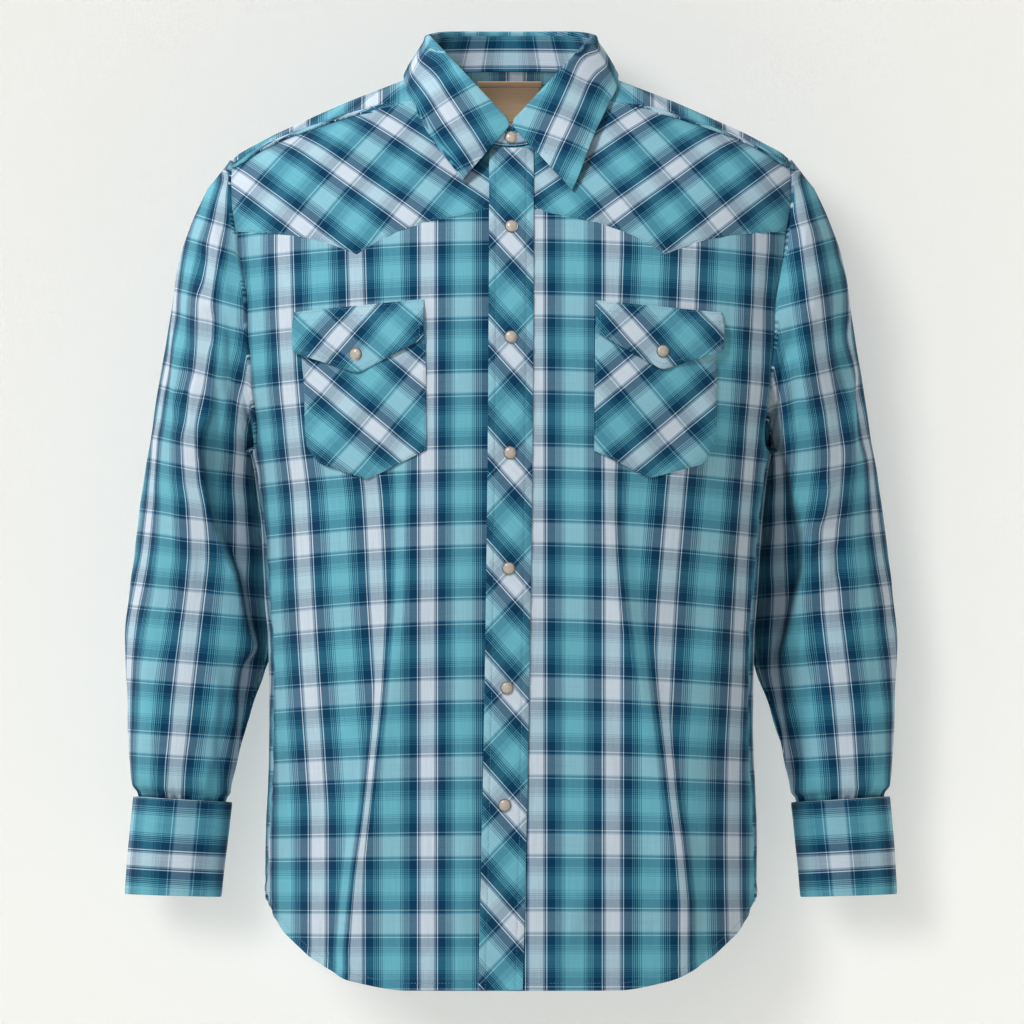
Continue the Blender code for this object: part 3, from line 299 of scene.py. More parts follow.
LEVELS = table(  # z, half width, depth ahead, depth behind
    (-770, 205, 138, 133), (-700, 208, 135, 128), (-629, 209, 132, 122), (-561, 206, 129.5, 116.5),
    (-502, 205.7, 128.5, 113.5), (-459, 206.6, 129, 113.5), (-406, 210.5, 131, 116), (-353, 213.5, 133, 120),
    (-298, 222, 134, 124.5), (-244, 236, 132.5, 127.5), (-190, 242.6, 128, 130), (-150, 244, 121, 129),
    (-116, 245, 113, 126.5), (-90, 246, 105, 123), (-70, 244.5, 94, 119), (-51, 236, 83, 112.5),
    (-34, 208.7, 74, 106), (-17, 172.5, 65, 98), (0, 133.5, 57, 88), (15.3, 94, 50, 74), (22.5, 77, 46, 67),
    (45, 30, 37, 54), (65, 4, 30, 46))
HEM = table(
    (0, -755), (22, -755), (36, -748), (50, -731), (61, -714), (72, -696), (79, -681), (84, -671), (90, -675),
    (100, -684), (113, -703), (126, -722), (140, -739), (156, -750), (180, -751.5), plain=1)
FRONT_YOKE_INNER = table((0, -92.5), (20, -95), (55, -101.5), (80, -107.5), (105, -117), (130.5, -132))
FRONT_YOKE_OUTER = table((130.5, -132), (159, -121.5), (182.5, -116.5), (207.5, -114), (236, -112.2))
BACK_YOKE = table((0, -178), (45, -158), (100, -141), (160, -127), (210, -117), (240, -112.2))
SHOULDER_SEAM = table((80.8, -1.7), (105, -5), (128, -9.3), (162, -20.5), (198, -34.5), (237, -56))
SIDE_SEAM = ((-0.671, 84), (-0.650, 80), (-0.600, 78), (-0.450, 77), (-0.298, 81))
ARMHOLE = ((0, 90), (15, 97.5), (30, 104), (50, 108.5), (70, 111.5), (90, 113), (110, 113), (130, 110),
           (150, 103), (165, 93), (180, 81), (195, 75), (210, 71), (230, 67.5), (250, 65.5), (270, 65.5),
           (290, 69.3), (310, 72.5), (330, 75.5), (345, 81.5), (360, 90))
FRONT_FOLDS = folds(
    (-150, -450, -168, -690, 26, -3.5), (150, -500, 145, -700, 30, 4), (60, -665, 22, -745, 24, 4.5),
    (-26, -610, -44, -720, 22, 3), (-190, -250, -120, -350, 26, 3.5), (190, -250, 125, -350, 26, 3.5))
WEFT_RUN = table(
    (-48, -48), (-112.2, -112.2), (-176.4, -176.4), (-240.6, -240.6), (-304.7, -304.7), (-368.9, -368.9),
    (-433, -433.1), (-500.2, -497.3), (-565.2, -561.4), (-632.4, -625.6), (-698.3, -689.8), (-765, -754))
DROOP_FADE = ((-0.10, 0.85), (-0.43, 1.0), (-0.50, 0.80), (-0.56, 0.60), (-0.62, 0.32), (-0.70, 0.06))


@dataclass(frozen=True)
class HangingFold:
    """Long fold that drops away steeply on its outer side and hides some cloth there."""

    line: tuple
    hidden: tuple
    proud: tuple
    width: float = 0.021
    shoulder: float = 0.045

    def slope(self, x: Array, z: Array) -> Array:
        """Share of the drop passed at each point, from 0 inside to 1 outside."""
        return ease((np.abs(x) - Curve(self.line)(z)) / self.width + 0.5)

    def cloth(self, x: Array, z: Array) -> Array:
        """Cloth hidden on the way to each point."""
        return self.slope(x, z) * Curve(self.hidden)(z)

    def height(self, x: Array, z: Array) -> Array:
        """Height of the fold."""
        inside = np.clip(1 - (Curve(self.line)(z) - np.abs(x)) / self.shoulder, 0, 1)
        return Curve(self.proud)(z) * (1 - self.slope(x, z)) * ease(inside)


HANGING_FOLDS = {
    -1: HangingFold(
        line=table((-130, 86), (-280.5, 90), (-340, 93.5), (-425, 97), (-459, 101.5), (-510, 108.5),
            (-561, 117.5), (-612, 126.5), (-663, 136.5), (-720, 144)),
        hidden=table((-130, 0), (-212.5, 2.5), (-280.5, 7.6), (-340, 14.5), (-425, 18.7), (-510, 23.8),
            (-561, 27.2), (-612, 29.7), (-750, 29.7)),
        proud=table((-200, 0), (-300, 2), (-420, 5.5), (-550, 8.5), (-700, 9), (-755, 7.5))),
    1: HangingFold(
        line=table((-130, 87), (-280.5, 88), (-354, 90.5), (-420, 100), (-467.5, 111), (-510, 120),
            (-561, 131), (-595, 137), (-629, 144.5), (-680, 153)),
        hidden=table((-130, 0), (-255, 5), (-340, 12), (-425, 18.7), (-510, 23), (-561, 25.5), (-630, 26.4),
            (-750, 24)),
        proud=table((-200, 0), (-300, 2.5), (-420, 6.5), (-550, 8.5), (-680, 7), (-755, 5)),
        width=0.026),
}
BACK_HANGING_FOLDS = {
    -1: HangingFold(
        line=table((-160, 78), (-300, 86), (-450, 104), (-600, 128), (-750, 148)),
        hidden=table((-160, 0), (-260, 5), (-400, 14), (-550, 20), (-750, 22)),
        proud=table((-180, 0), (-300, 4.5), (-450, 8.5), (-600, 10.5), (-760, 9)),
        width=0.02),
    1: HangingFold(
        line=table((-160, 84), (-300, 94), (-450, 106), (-600, 118), (-750, 132)),
        hidden=table((-160, 0), (-280, 5), (-420, 12), (-570, 18), (-750, 19)),
        proud=table((-180, 0), (-320, 4.5), (-480, 8.5), (-620, 9.5), (-760, 8)),
        width=0.018),
}
BACK_FOLDS = folds(
    (-104, -140, -70, -640, 34, 9.5), (108, -140, 82, -660, 34, 10), (-28, -200, -8, -640, 30, 7),
    (44, -340, 30, -740, 28, 7.5), (-60, -430, -52, -740, 22, -5), (70, -190, 52, -560, 20, -4.5),
    (-142, -360, -120, -720, 26, 8), (152, -400, 126, -720, 26, 8), (-205, -225, -110, -340, 22, 6.5),
    (205, -225, 112, -330, 22, 6.5), (-195, -270, -125, -420, 18, 4.5), (198, -275, 130, -440, 18, 4.5))
FRONT_FOLDS += folds(
    (-205, -150, -185, -240, 12, 1.6), (205, -150, 187, -240, 12, 1.6), (-222, -120, -214, -215, 10, -1.2),
    (222, -120, 214, -215, 10, -1.2), (-80, -440, -108, -600, 12, -1.8), (-108, -480, -140, -690, 11, 1.6),
    (104, -360, 118, -520, 12, -1.6), (75, -500, 98, -660, 12, 1.4), (-185, -330, -160, -520, 14, 1.4),
    (186, -330, 165, -520, 14, 1.4), (-60, -640, -78, -735, 12, 1.4), (52, -690, 20, -735, 9, -1.4))
BACK_FOLDS += folds(
    (-212, -190, -150, -290, 11, -2.6), (212, -190, 152, -285, 11, -2.6), (-60, -165, -46, -330, 9, -2.2),
    (52, -165, 44, -310, 9, -2.2), (-160, -500, -85, -640, 11, 2.8), (168, -490, 80, -650, 11, 2.8),
    (-120, -560, -40, -680, 10, 2), (10, -420, 18, -600, 10, -2.2), (-86, -260, -90, -470, 10, 2.2),
    (128, -520, 104, -720, 10, -2.4), (-30, -600, -20, -760, 11, 2.4))


@dataclass
class BodyForm:
    """Surface of the filled-out body, over the shoulders and down to the hem."""

    fullness: float = 2.3
    apex_z: float = 0.065
    widest_z: float = -0.090
    hem_side_z: float = -0.671
    shoulder_tip_z: float = -0.050
    underarm_z: float = -0.298
    neck_half_width: float = 0.079
    neck_front: float = 0.078
    neck_back: float = 0.065
    neck_shape: float = 0.9
    placket_top_z: float = -0.0427
    placket_bottom_z: float = -0.7545
    placket_half_width: float = 0.019
    placket_middle_x: float = 0.0004
    placket_sway: float = 0.0093
    placket_overhang: float = 0.0015
    lap_x: float = 0.010
    opening_calm: float = 0.045
    underlap: float = 0.0027
    tuck_start: float = 0.018
    tuck_width: float = 0.015
    yoke_point_x: float = 0.1305
    fold_taper: float = 0.3
    ripple_height: float = 0.0011
    ripple_top_z: float = -0.10
    ripple: Ripple = field(default_factory=lambda: Ripple(7))

    def __post_init__(self) -> None:
        """Make the lines that the form follows."""
        self.half_width, self.front_depth, self.back_depth = curves(LEVELS)
        self.hem_z = Curve(HEM)
        self.side_angle = Curve(SIDE_SEAM)
        self.armhole_angle = Curve(ARMHOLE)
        self.yoke_inner_z = Curve(FRONT_YOKE_INNER)
        self.yoke_outer_z = Curve(FRONT_YOKE_OUTER)
        self.back_yoke_z = Curve(BACK_YOKE)
        self.shoulder_seam_z = Curve(SHOULDER_SEAM)
        heights = np.linspace(self.widest_z, self.apex_z, 4000)
        self._ridge = (self.half_width(heights)[::-1], heights[::-1])

    def depth(self, y: Array, z: Array) -> Array:
        """Depth of the level section, ahead or behind."""
        return np.where(y < 0, self.front_depth(z), self.back_depth(z))

    def fold_heights(self, folds: Sequence[Fold], x: Array, z: Array) -> Array:
        """Height of all folds at each point."""
        total = np.zeros(np.broadcast(x, z).shape)
        for fold in folds:
            rx, rz = fold.x1 - fold.x0, fold.z1 - fold.z0
            hx, hz = x - fold.x0, z - fold.z0
            along = (hx * rx + hz * rz) / (rx * rx + rz * rz)
            across = np.hypot(hx - rx * along, hz - rz * along) / fold.reach
            shape = np.clip(1 - across ** 2, 0, None) ** 2
            total = total + fold.height * shape * ease(np.minimum(along, 1 - along) / self.fold_taper)
        return total

    def plan_normal(self, x: Array, y: Array, z: Array) -> Array:
        """Level direction that points out of the body."""
        depth = self.depth(y, z)
        return unit(points(power(x, self.fullness - 1) / self.half_width(z) ** self.fullness,
                           power(y, self.fullness - 1) / depth ** self.fullness, 0.0))

    def with_folds(self, x: Array, y: Array, z: Array) -> Array:
        """Surface with its folds, which die out towards the stitched opening."""
        calm = ease((np.abs(x) - self.placket_half_width) / self.opening_calm)
        ahead, behind = (
            self.fold_heights(small, x, z) + np.where(x < 0, long[-1].height(x, z), long[1].height(x, z))
            for small, long in ((FRONT_FOLDS, HANGING_FOLDS), (BACK_FOLDS, BACK_HANGING_FOLDS)))
        ripples = self.ripple_height * ease((self.ripple_top_z - z) / 0.06) * self.ripple(x, z)
        height = np.where(y < 0, ahead * calm + ripples * (0.25 + 0.75 * calm), behind + ripples)
        return points(x, y, z) + self.plan_normal(x, y, z) * height[..., None]

    def torso(self, angle: Array, z: Array) -> Array:
        """Surface by the angle from centre front, in degrees, and height."""
        back = -power(np.cos(np.radians(angle)), 2 / self.fullness)
        return self.with_folds(self.plan_x(angle, z), self.depth(back, z) * back, z)

    def front_angle(self, x: Array, z: Array) -> Array:
        """Angle from centre front of the front's point at x and z."""
        share = np.minimum(np.abs(x) / self.half_width(z), 1.0)
        return np.copysign(np.degrees(np.arcsin(share ** (self.fullness / 2))), x)

    def level_reach(self, x: Array, z: Array) -> Array:
        """Share of the level section's depth that is left at x."""
        share = np.minimum(np.abs(x) / self.half_width(z), 1.0)
        return (1 - share ** self.fullness) ** (1 / self.fullness)

    def ridge_height(self, x: Array) -> Array:
        """Height of the shoulder ridge above x."""
        return np.interp(np.abs(x), *self._ridge)

    def shoulder_drop(self, x: Array, z: Array, facing: float) -> Array:
        """Second coordinate on the shoulders: 0 on the ridge, below 0 in front of it."""
        return facing * np.sqrt(np.maximum(self.ridge_height(x) - z, 0.0))

    def shoulder(self, x: Array, drop: Array) -> Array:
        """Surface over the shoulders by x and shoulder_drop."""
        z = self.ridge_height(x) - drop ** 2
        return self.with_folds(x, np.copysign(self.depth(drop, z) * self.level_reach(x, z), drop), z)

    def front(self, x: Array, z: Array) -> Array:
        """Front surface by x and z."""
        return self.with_folds(x, -self.front_depth(z) * self.level_reach(x, z), z)

    def lifted(self, surface: Callable, a: Array, b: Array, lift: Array,
               step: float = 0.002) -> Array:
        """Points of a surface moved along its normal."""
        along = surface(a + step, b) - surface(a - step, b)
        up = surface(a, b + step) - surface(a, b - step)
        return surface(a, b) + unit(np.cross(along, up)) * np.asarray(lift)[..., None]

    def armhole_z(self, turn: Array) -> Array:
        """Height of the armhole at a turn from its tip."""
        middle = (self.shoulder_tip_z + self.underarm_z) / 2
        return middle + (self.shoulder_tip_z - middle) * np.cos(np.radians(turn))

    def armhole(self, turn: Array) -> Array:
        """(angle, z) of the left armhole."""
        return pair(self.armhole_angle(np.mod(turn, 360)), self.armhole_z(turn))

    def plan_x(self, angle: Array, z: Array) -> Array:
        """x of a point given by angle and z."""
        return self.half_width(z) * power(np.sin(np.radians(angle)), 2 / self.fullness)

    def armhole_shoulder(self, turn: Array) -> Array:
        """(x, drop) of the left armhole."""
        angle, z = split(self.armhole(turn))
        x = self.plan_x(angle, z)
        return pair(x, self.shoulder_drop(x, z, np.where(np.cos(np.radians(angle)) > 0, -1.0, 1.0)))

    def placket_centre(self, z: Array) -> Array:
        """x of the front strip's middle line."""
        share = (z - self.placket_top_z) / (self.placket_bottom_z - self.placket_top_z)
        return self.placket_middle_x - self.placket_sway * np.clip(share, 0.0, 1.0) ** 2

    def front_yoke_z(self, x: Array) -> Array:
        """Height of the front yoke's seam."""
        return np.where(x < self.yoke_point_x, self.yoke_inner_z(x), self.yoke_outer_z(x))

    def neckline(self, turn: Array) -> Array:
        """Points where the neckline lies on the body."""
        angle = np.radians(turn)
        reach = np.where(np.cos(angle) > 0, self.neck_front, self.neck_back)
        x, y = self.neck_half_width * power(np.sin(angle), self.neck_shape), -reach * np.cos(angle)
        low, high = np.full(x.shape, self.widest_z), np.full(x.shape, self.apex_z)
        for _ in range(30):
            z = (low + high) / 2
            within = (np.abs(x) / self.half_width(z)) ** self.fullness + (
                np.abs(y) / self.depth(y, z)) ** self.fullness < 1
            low, high = np.where(within, z, low), np.where(within, high, z)
        return points(x, y, low)

    def neck_shoulder(self, turn: Array) -> Array:
        """(x, drop) of the neckline."""
        x, y, z = split(self.neckline(turn))
        return pair(x, self.shoulder_drop(x, z, np.copysign(1.0, y)))

    def neck_outward(self, turn: Array) -> Array:
        """Level direction that points out of the neck at a turn."""
        angle = np.radians(turn)
        reach = np.where(np.cos(angle) > 0, self.neck_front, self.neck_back)
        return unit(points(np.sin(angle) / self.neck_half_width, -np.cos(angle) / reach, 0.0))

    def inner_edge_x(self, side: Side, z: Array) -> Array:
        """Inner edge of a front, measured towards its own side."""
        if side is Side.LEFT:
            return self.placket_centre(z) - self.placket_half_width + self.placket_overhang
        return -(self.lap_x + self.placket_centre(z))

    def tuck(self, x: Array, z: Array) -> Array:
        """How far the wearer's right front sits behind the left one."""
        edge = self.placket_centre(z) - self.placket_half_width
        return self.underlap * ease((x - edge + self.tuck_start) / self.tuck_width)

    def place_front(self, side: Side, place: Callable, a: Array, b: Array) -> Array:
        """Point of a front or front yoke; a is measured towards the piece's own side."""
        p = place(a * side.value, b)
        if side is Side.RIGHT:
            x, y, z = split(p)
            p = p - self.plan_normal(x, y, z) * self.tuck(x, z)[..., None]
        return p


# --- Cloth sheets and their sewing ---


@dataclass
class Cloth:
    """One cut piece: outer points, cloth coordinates and how it is made up."""

    name: str
    grid: Array
    uv: Array
    inside: Vector
    wall: float
    closed: bool = False
    edge_round: float = 0.0

    def corner_normals(self) -> Array:
        """Outward direction at each point."""
        g = self.grid
        if self.closed:
            g = np.concatenate((g[:, -1:], g, g[:, :1]), axis=1)
        down, across = np.gradient(g, axis=0), np.gradient(g, axis=1)
        normal = unit(np.cross(across, down))
        if self.closed:
            normal = normal[:, 1:-1]
        facing = np.sum(normal * (self.grid - np.array(self.inside)), axis=-1).sum()
        return normal if facing > 0 else -normal

    def build(self) -> Object:
        """Make the sheet's mesh, with a wall that grows inwards and soft edges.

        Returns:
            The finished object, not yet dressed.
        """
        rows, columns = self.grid.shape[:2]
        verts = self.grid.reshape(-1, 3)
        wide = columns if self.closed else columns - 1
        j, i = np.meshgrid(np.arange(rows - 1), np.arange(wide), indexing="ij")
        k = (i + 1) % columns
        quads = np.stack((j * columns + i, j * columns + k, (j + 1) * columns + k, (j + 1) * columns + i),
                         axis=-1).reshape(-1, 4)
        uvs = np.stack((self.uv[j, i], self.uv[j, i + 1], self.uv[j + 1, i + 1], self.uv[j + 1, i]),
                       axis=-2).reshape(-1, 4, 2)
        a, b, c = verts[quads[:, 0]], verts[quads[:, 1]], verts[quads[:, 2]]
        if np.sum(np.cross(b - a, c - a) * (a - np.array(self.inside))) < 0:
            quads, uvs = quads[:, ::-1], uvs[:, ::-1]
        mesh = bpy.data.meshes.new(f"cloth_{self.name}")
        mesh.from_pydata(verts.tolist(), [], quads.tolist())
        layer = mesh.uv_layers.new(name=UV_NAME)
        layer.data.foreach_set("uv", uvs.reshape(-1).astype(np.float32))
        mesh.shade_smooth()
        piece = add_object(f"cloth_{self.name}", mesh)
        thicken = piece.modifiers.new("wall", "SOLIDIFY")
        thicken.thickness = self.wall
        thicken.offset = -1.0
        if self.edge_round:
            round_edges(piece, "soft_edge", self.edge_round, 2, math.radians(50))
        return piece

    def widen(self, outward: Array, reach: float, sink: float, *edges: str) -> None:
        """Add a row past each edge, which goes under the neighbouring piece.

        Args:
            outward: outward direction at each point.
            reach: how far the new rows lie past the edges.
            sink: how far they lie inside the surface.
            edges: south, north, west or east.
        """
        for edge in edges:
            axis, first = int(edge in ("west", "east")), edge in ("south", "west")
            last, before = ([0], [1]) if first else ([-1], [-2])
            (row, away), (row_uv, on) = (
                (np.take(p, last, axis), unit(np.take(p, last, axis) - np.take(p, before, axis)))
                for p in (self.grid, self.uv))
            normal = np.take(outward, last, axis)
            rows = (row + away * reach - normal * sink, row_uv + on * reach, normal)
            self.grid, self.uv, outward = (
                np.concatenate((new, old) if first else (old, new), axis)
                for new, old in zip(rows, (self.grid, self.uv, outward)))


class SeamLine:
    """A line on a sheet, in shares of its columns (t) and rows (s), that stitches follow."""

    def __init__(self, cloth: Cloth, t: Array, s: Array, lift: float = 0.0) -> None:
        """Find the line's points and normals.

        Args:
            cloth: the sheet that is sewn.
            t: column numbers, which may lie between columns.
            s: row numbers.
            lift: height of the line above the sheet.
        """
        t, s = np.broadcast_arrays(np.asarray(t, float), np.asarray(s, float))
        self.points = self._sample(cloth.grid, t, s)
        self.normals = unit(self._sample(cloth.corner_normals(), t, s))
        self.points = self.points + self.normals * lift

    @staticmethod
    def _sample(values: Array, t: Array, s: Array) -> Array:
        """Values between grid points."""
        i = np.clip(t.astype(int), 0, values.shape[1] - 2)
        j = np.clip(s.astype(int), 0, values.shape[0] - 2)
        ft, fs = (t - i)[..., None], (s - j)[..., None]
        return ((1 - fs) * ((1 - ft) * values[j, i] + ft * values[j, i + 1])
                + fs * ((1 - ft) * values[j + 1, i] + ft * values[j + 1, i + 1]))


def inset(cloth: Cloth, edge: str, distance: float, start: float = 0.0, end: float = 1.0) -> SeamLine:
    """Stitch line along one edge of a sheet.

    Args:
        cloth: the sheet.
        edge: south, north, west or east.
        distance: how far in from the edge it runs.
        start: share of the edge where it starts.
        end: share of the edge where it ends.

    Returns:
        The line.
    """
    turned, far = edge in ("west", "east"), edge in ("north", "east")
    grid = cloth.grid if turned else np.swapaxes(cloth.grid, 0, 1)
    if far:
        grid = grid[:, ::-1]
    run = running(steps(grid, 1))
    last = run.shape[1] - 1
    number = np.array([np.interp(distance, row, np.arange(last + 1)) for row in run])
    along = np.linspace(start, end, 200) * (len(grid) - 1)
    inner = np.interp(along, np.arange(len(grid)), last - number if far else number)
    return SeamLine(cloth, inner, along) if turned else SeamLine(cloth, along, inner)


def insets(cloth: Cloth, distance: float, *edges: str) -> list[SeamLine]:
    """Stitch lines at one distance from several edges."""
    return [inset(cloth, edge, distance) for edge in edges]


@dataclass
class Stitching:
    """Lockstitch rows of one sub-assembly, copied from one modelled stitch."""

    name: str
    length: float = 2.3 * MM
    pitch: float = 2.9 * MM
    thickness: float = 0.42 * MM

    def _stitch(self) -> tuple[Array, list[tuple[int, ...]]]:
        """Model one stitch along +X with its back at z = 0.

        Returns:
            Its points and faces.
        """
        bpy.ops.object.select_all(action="DESELECT")
        bpy.ops.mesh.primitive_cylinder_add(vertices=6, radius=0.5, depth=1.0, end_fill_type="TRIFAN",
                                            rotation=(0, math.pi / 2, 0))
        one = bpy.context.object
        bpy.ops.object.transform_apply(location=True, rotation=True, scale=True)
        bpy.ops.object.mode_set(mode="EDIT")
        bpy.ops.mesh.select_all(action="SELECT")
        bpy.ops.mesh.bisect(plane_co=(0, 0, 0), plane_no=(1, 0, 0), use_fill=False)
        bpy.ops.object.mode_set(mode="OBJECT")
        p = np.array([tuple(v.co) for v in one.data.vertices])
        faces = [tuple(f.vertices) for f in one.data.polygons]
        ends = np.abs(p[:, 0]) > 0.4
        p[ends, 1:] *= 0.55
        p = p * np.array((self.length, self.thickness, self.thickness))
        p[ends, 2] -= 0.25 * self.thickness
        mesh = one.data
        bpy.data.objects.remove(one, do_unlink=True)
        bpy.data.meshes.remove(mesh)
        return p, faces

    def sew(self, lines: Sequence[SeamLine]) -> Object:
        """Copy the stitch along every line into one mesh.

        Args:
            lines: the seam lines of the sub-assembly.

        Returns:
            The stitches as one object.
        """
        shape, faces = self._stitch()
        verts, polys = [], []
        for line in lines:
            run = running(steps(line.points))
            count = int(run[-1] / self.pitch)
            if count < 1:
                continue
            middle = (np.arange(count) + 0.5) * run[-1] / count
            at, normal, ahead = (np.stack([np.interp(m, run, v[:, c]) for c in range(3)], axis=-1)
                                 for m, v in ((middle, line.points), (middle, line.normals),
                                              (middle + 0.4 * self.pitch, line.points)))
            along = unit(ahead - at)
            normal = unit(normal - along * np.sum(normal * along, axis=-1, keepdims=True))
            side = np.cross(normal, along)
            for p, a, s, n in zip(at, along, side, normal):
                base = len(verts)
                verts.extend((p + shape[:, :1] * a + shape[:, 1:2] * s + shape[:, 2:] * n).tolist())
                polys.extend(tuple(base + v for v in f) for f in faces)
        mesh = bpy.data.meshes.new(f"cloth_{self.name}")
        mesh.from_pydata(verts, [], polys)
        mesh.shade_smooth()
        piece = add_object(f"cloth_{self.name}", mesh)
        return piece


# --- Fronts, back and yokes ---

FORM = BodyForm()
BODY_MIDDLE = Vector((0.0, 0.0, -0.30))


@dataclass(frozen=True)
class Grain:
    """How a piece was laid on the plaid before it was cut."""

    warp_at: float = 0.0
    weft_at: float = 0.0
    angle: float = 0.0
    warp_scale: float = 1.0
    weft_scale: float = 1.0

    def lay(self, a: Array, b: Array) -> Array:
        """Cloth coordinates of a piece's own coordinates.

        Args:
            a: metres across the piece, away from the opening.
            b: metres up the piece.

        Returns:
            Metres along the weft and along the warp, from the middle of a pale band.
        """
        turn = math.radians(self.angle)
        a, b = (a - self.warp_at) / self.warp_scale, (b - self.weft_at) / self.weft_scale
        return pair(a * math.cos(turn) + b * math.sin(turn), b * math.cos(turn) - a * math.sin(turn))


def arc_across(grid: Array, flat_to: float) -> Array:
    """Distance across each row: level distance near the middle, true length further out.

    Args:
        grid: outer points, whose rows start at the inner edge.
        flat_to: x beyond which the true length counts.

    Returns:
        Distance from x = 0, one for each point.
    """
    x = np.abs(grid[..., 0])
    dx, dy = np.diff(grid[..., 0], axis=1), np.diff(grid[..., 1], axis=1)
    middle = (x[:, 1:] + x[:, :-1]) / 2
    step = np.hypot(dx, dy * ease((middle - flat_to) / 0.04))
    return grid[:, :1, 0] * np.sign(grid[0, -1, 0]) + running(step)


def arc_up(grid: Array) -> Array:
    """Distance up each column, which starts at the height of its lowest point."""
    return grid[:1, :, 2] + running(steps(grid), 0)


UNDERARM_SHARE = 9 / 19  # where the underarm is on the way up a front's or the back's outer edge
FRONT_POINT_SHARE, FRONT_NECK_SHARE = 6 / 11, 4 / 11  # yoke point and neck corner across a front
BACK_NECK_SHARES = (7 / 26, 19 / 26)  # neck corners across the back


@dataclass
class Seams:
    """Sizes that the body's sewn edges share."""

    gap: float = 0.0006
    shoulder_gap: float = 0.0013
    neck_corner: float = 55.0
    neck_corner_gap: float = 0.6
    yoke_armhole_turn: float = 60.0
    shoulder_turn: float = -12.0
    back_neck_span: float = 0.180
    allowance: float = 0.006
    sink: float = 0.0013
    hem_depth: float = 0.007
    hem_proud: float = 0.0004
    pucker_height: float = 0.0005
    side_radius: float = 0.2067
    metres_per_degree: float = 0.0036

    @property
    def side_gap(self) -> float:
        """Half the gap at the side seams, in degrees."""
        return math.degrees(self.gap / self.side_radius) / 2

    def front_x(self, inner: float, t: Array) -> Array:
        """x of the columns that a front shares with its yoke."""
        outer = float(FORM.armhole_shoulder(np.array(-self.yoke_armhole_turn))[0])
        return np.interp(t, (0, FRONT_POINT_SHARE, 1), (inner, FORM.yoke_point_x, outer))

    def back_x(self, t: Array) -> Array:
        """x of the columns that the back shares with its yoke."""
        edge = float(FORM.armhole_shoulder(np.array(self.yoke_armhole_turn))[0])
        span = self.back_neck_span
        return np.interp(t, (0, *BACK_NECK_SHARES, 1), (edge, span, -span, -edge))

    def shoulder_line(self, share: Array, shift: float) -> Array:
        """(x, drop) points of the left shoulder seam, from the neck to the armhole."""
        first = FORM.neckline(np.array([self.neck_corner]))[0]
        last_x = float(FORM.armhole_shoulder(np.array(self.shoulder_turn))[0])
        x = first[0] + (last_x - first[0]) * share
        start_x, start_z = SHOULDER_SEAM[0]
        near = first[2] + (start_z - first[2]) * (x - first[0]) / (start_x - first[0])
        z = np.where(x > start_x, FORM.shoulder_seam_z(x), near)
        return pair(x, FORM.shoulder_drop(x, z + shift, -1))

    def side_edge(self, s: Array, side_gap: float, turn: float) -> Array:
        """(angle, z) up the left side seam and then up the armhole to a turn."""
        z = np.interp(s, (0, UNDERARM_SHARE), (FORM.hem_side_z, FORM.underarm_z))
        low = pair(FORM.side_angle(z) + side_gap, z)
        arm = FORM.armhole(np.interp(s, (UNDERARM_SHARE, 1), (180, turn)))
        return np.where((s <= UNDERARM_SHARE + 1e-9)[:, None], low, arm)

    def relief(self, hem: Array, edge: Array, sidewards: Array, across: Array, z: Array) -> Array:
        """Puckers beside a body piece's seams, and its turned hem.

        Args:
            hem: distance from the hem.
            edge: distance from the yoke.
            sidewards: distance from the side seam.
            across: place across the piece.
            z: height.

        Returns:
            How proud each point is.
        """
        puckers = (pucker(hem, across, 0.017, 0.018, 1.0) + 0.7 * pucker(edge, across, 0.019, 0.012, 2.0)
                   + 0.8 * pucker(sidewards, z, 0.019, 0.014, 3.0) * (z < FORM.underarm_z))
        return (self.pucker_height * puckers + self.hem_proud * (hem < self.hem_depth)
                - 0.0005 * groove(hem, self.hem_depth, 0.0022))

    def finish(self, cloth: Cloth, relief: Array, *edges: str) -> Cloth:
        """Raise a sheet by its relief and add rows past its covered edges."""
        out = cloth.corner_normals()
        cloth.grid = cloth.grid + out * relief[..., None]
        cloth.widen(out, self.allowance, self.sink, *edges)
        return cloth

    def yoke_relief(self, low: Array, across: Array) -> Array:
        """How proud a yoke is, by the distance from its lower edge and the place across it."""
        return 0.0005 * (1 - 0.5 * np.exp(-low / 0.0015)) + 0.00035 * pucker(low, across, 0.016, 0.010)


SEAMS = Seams()


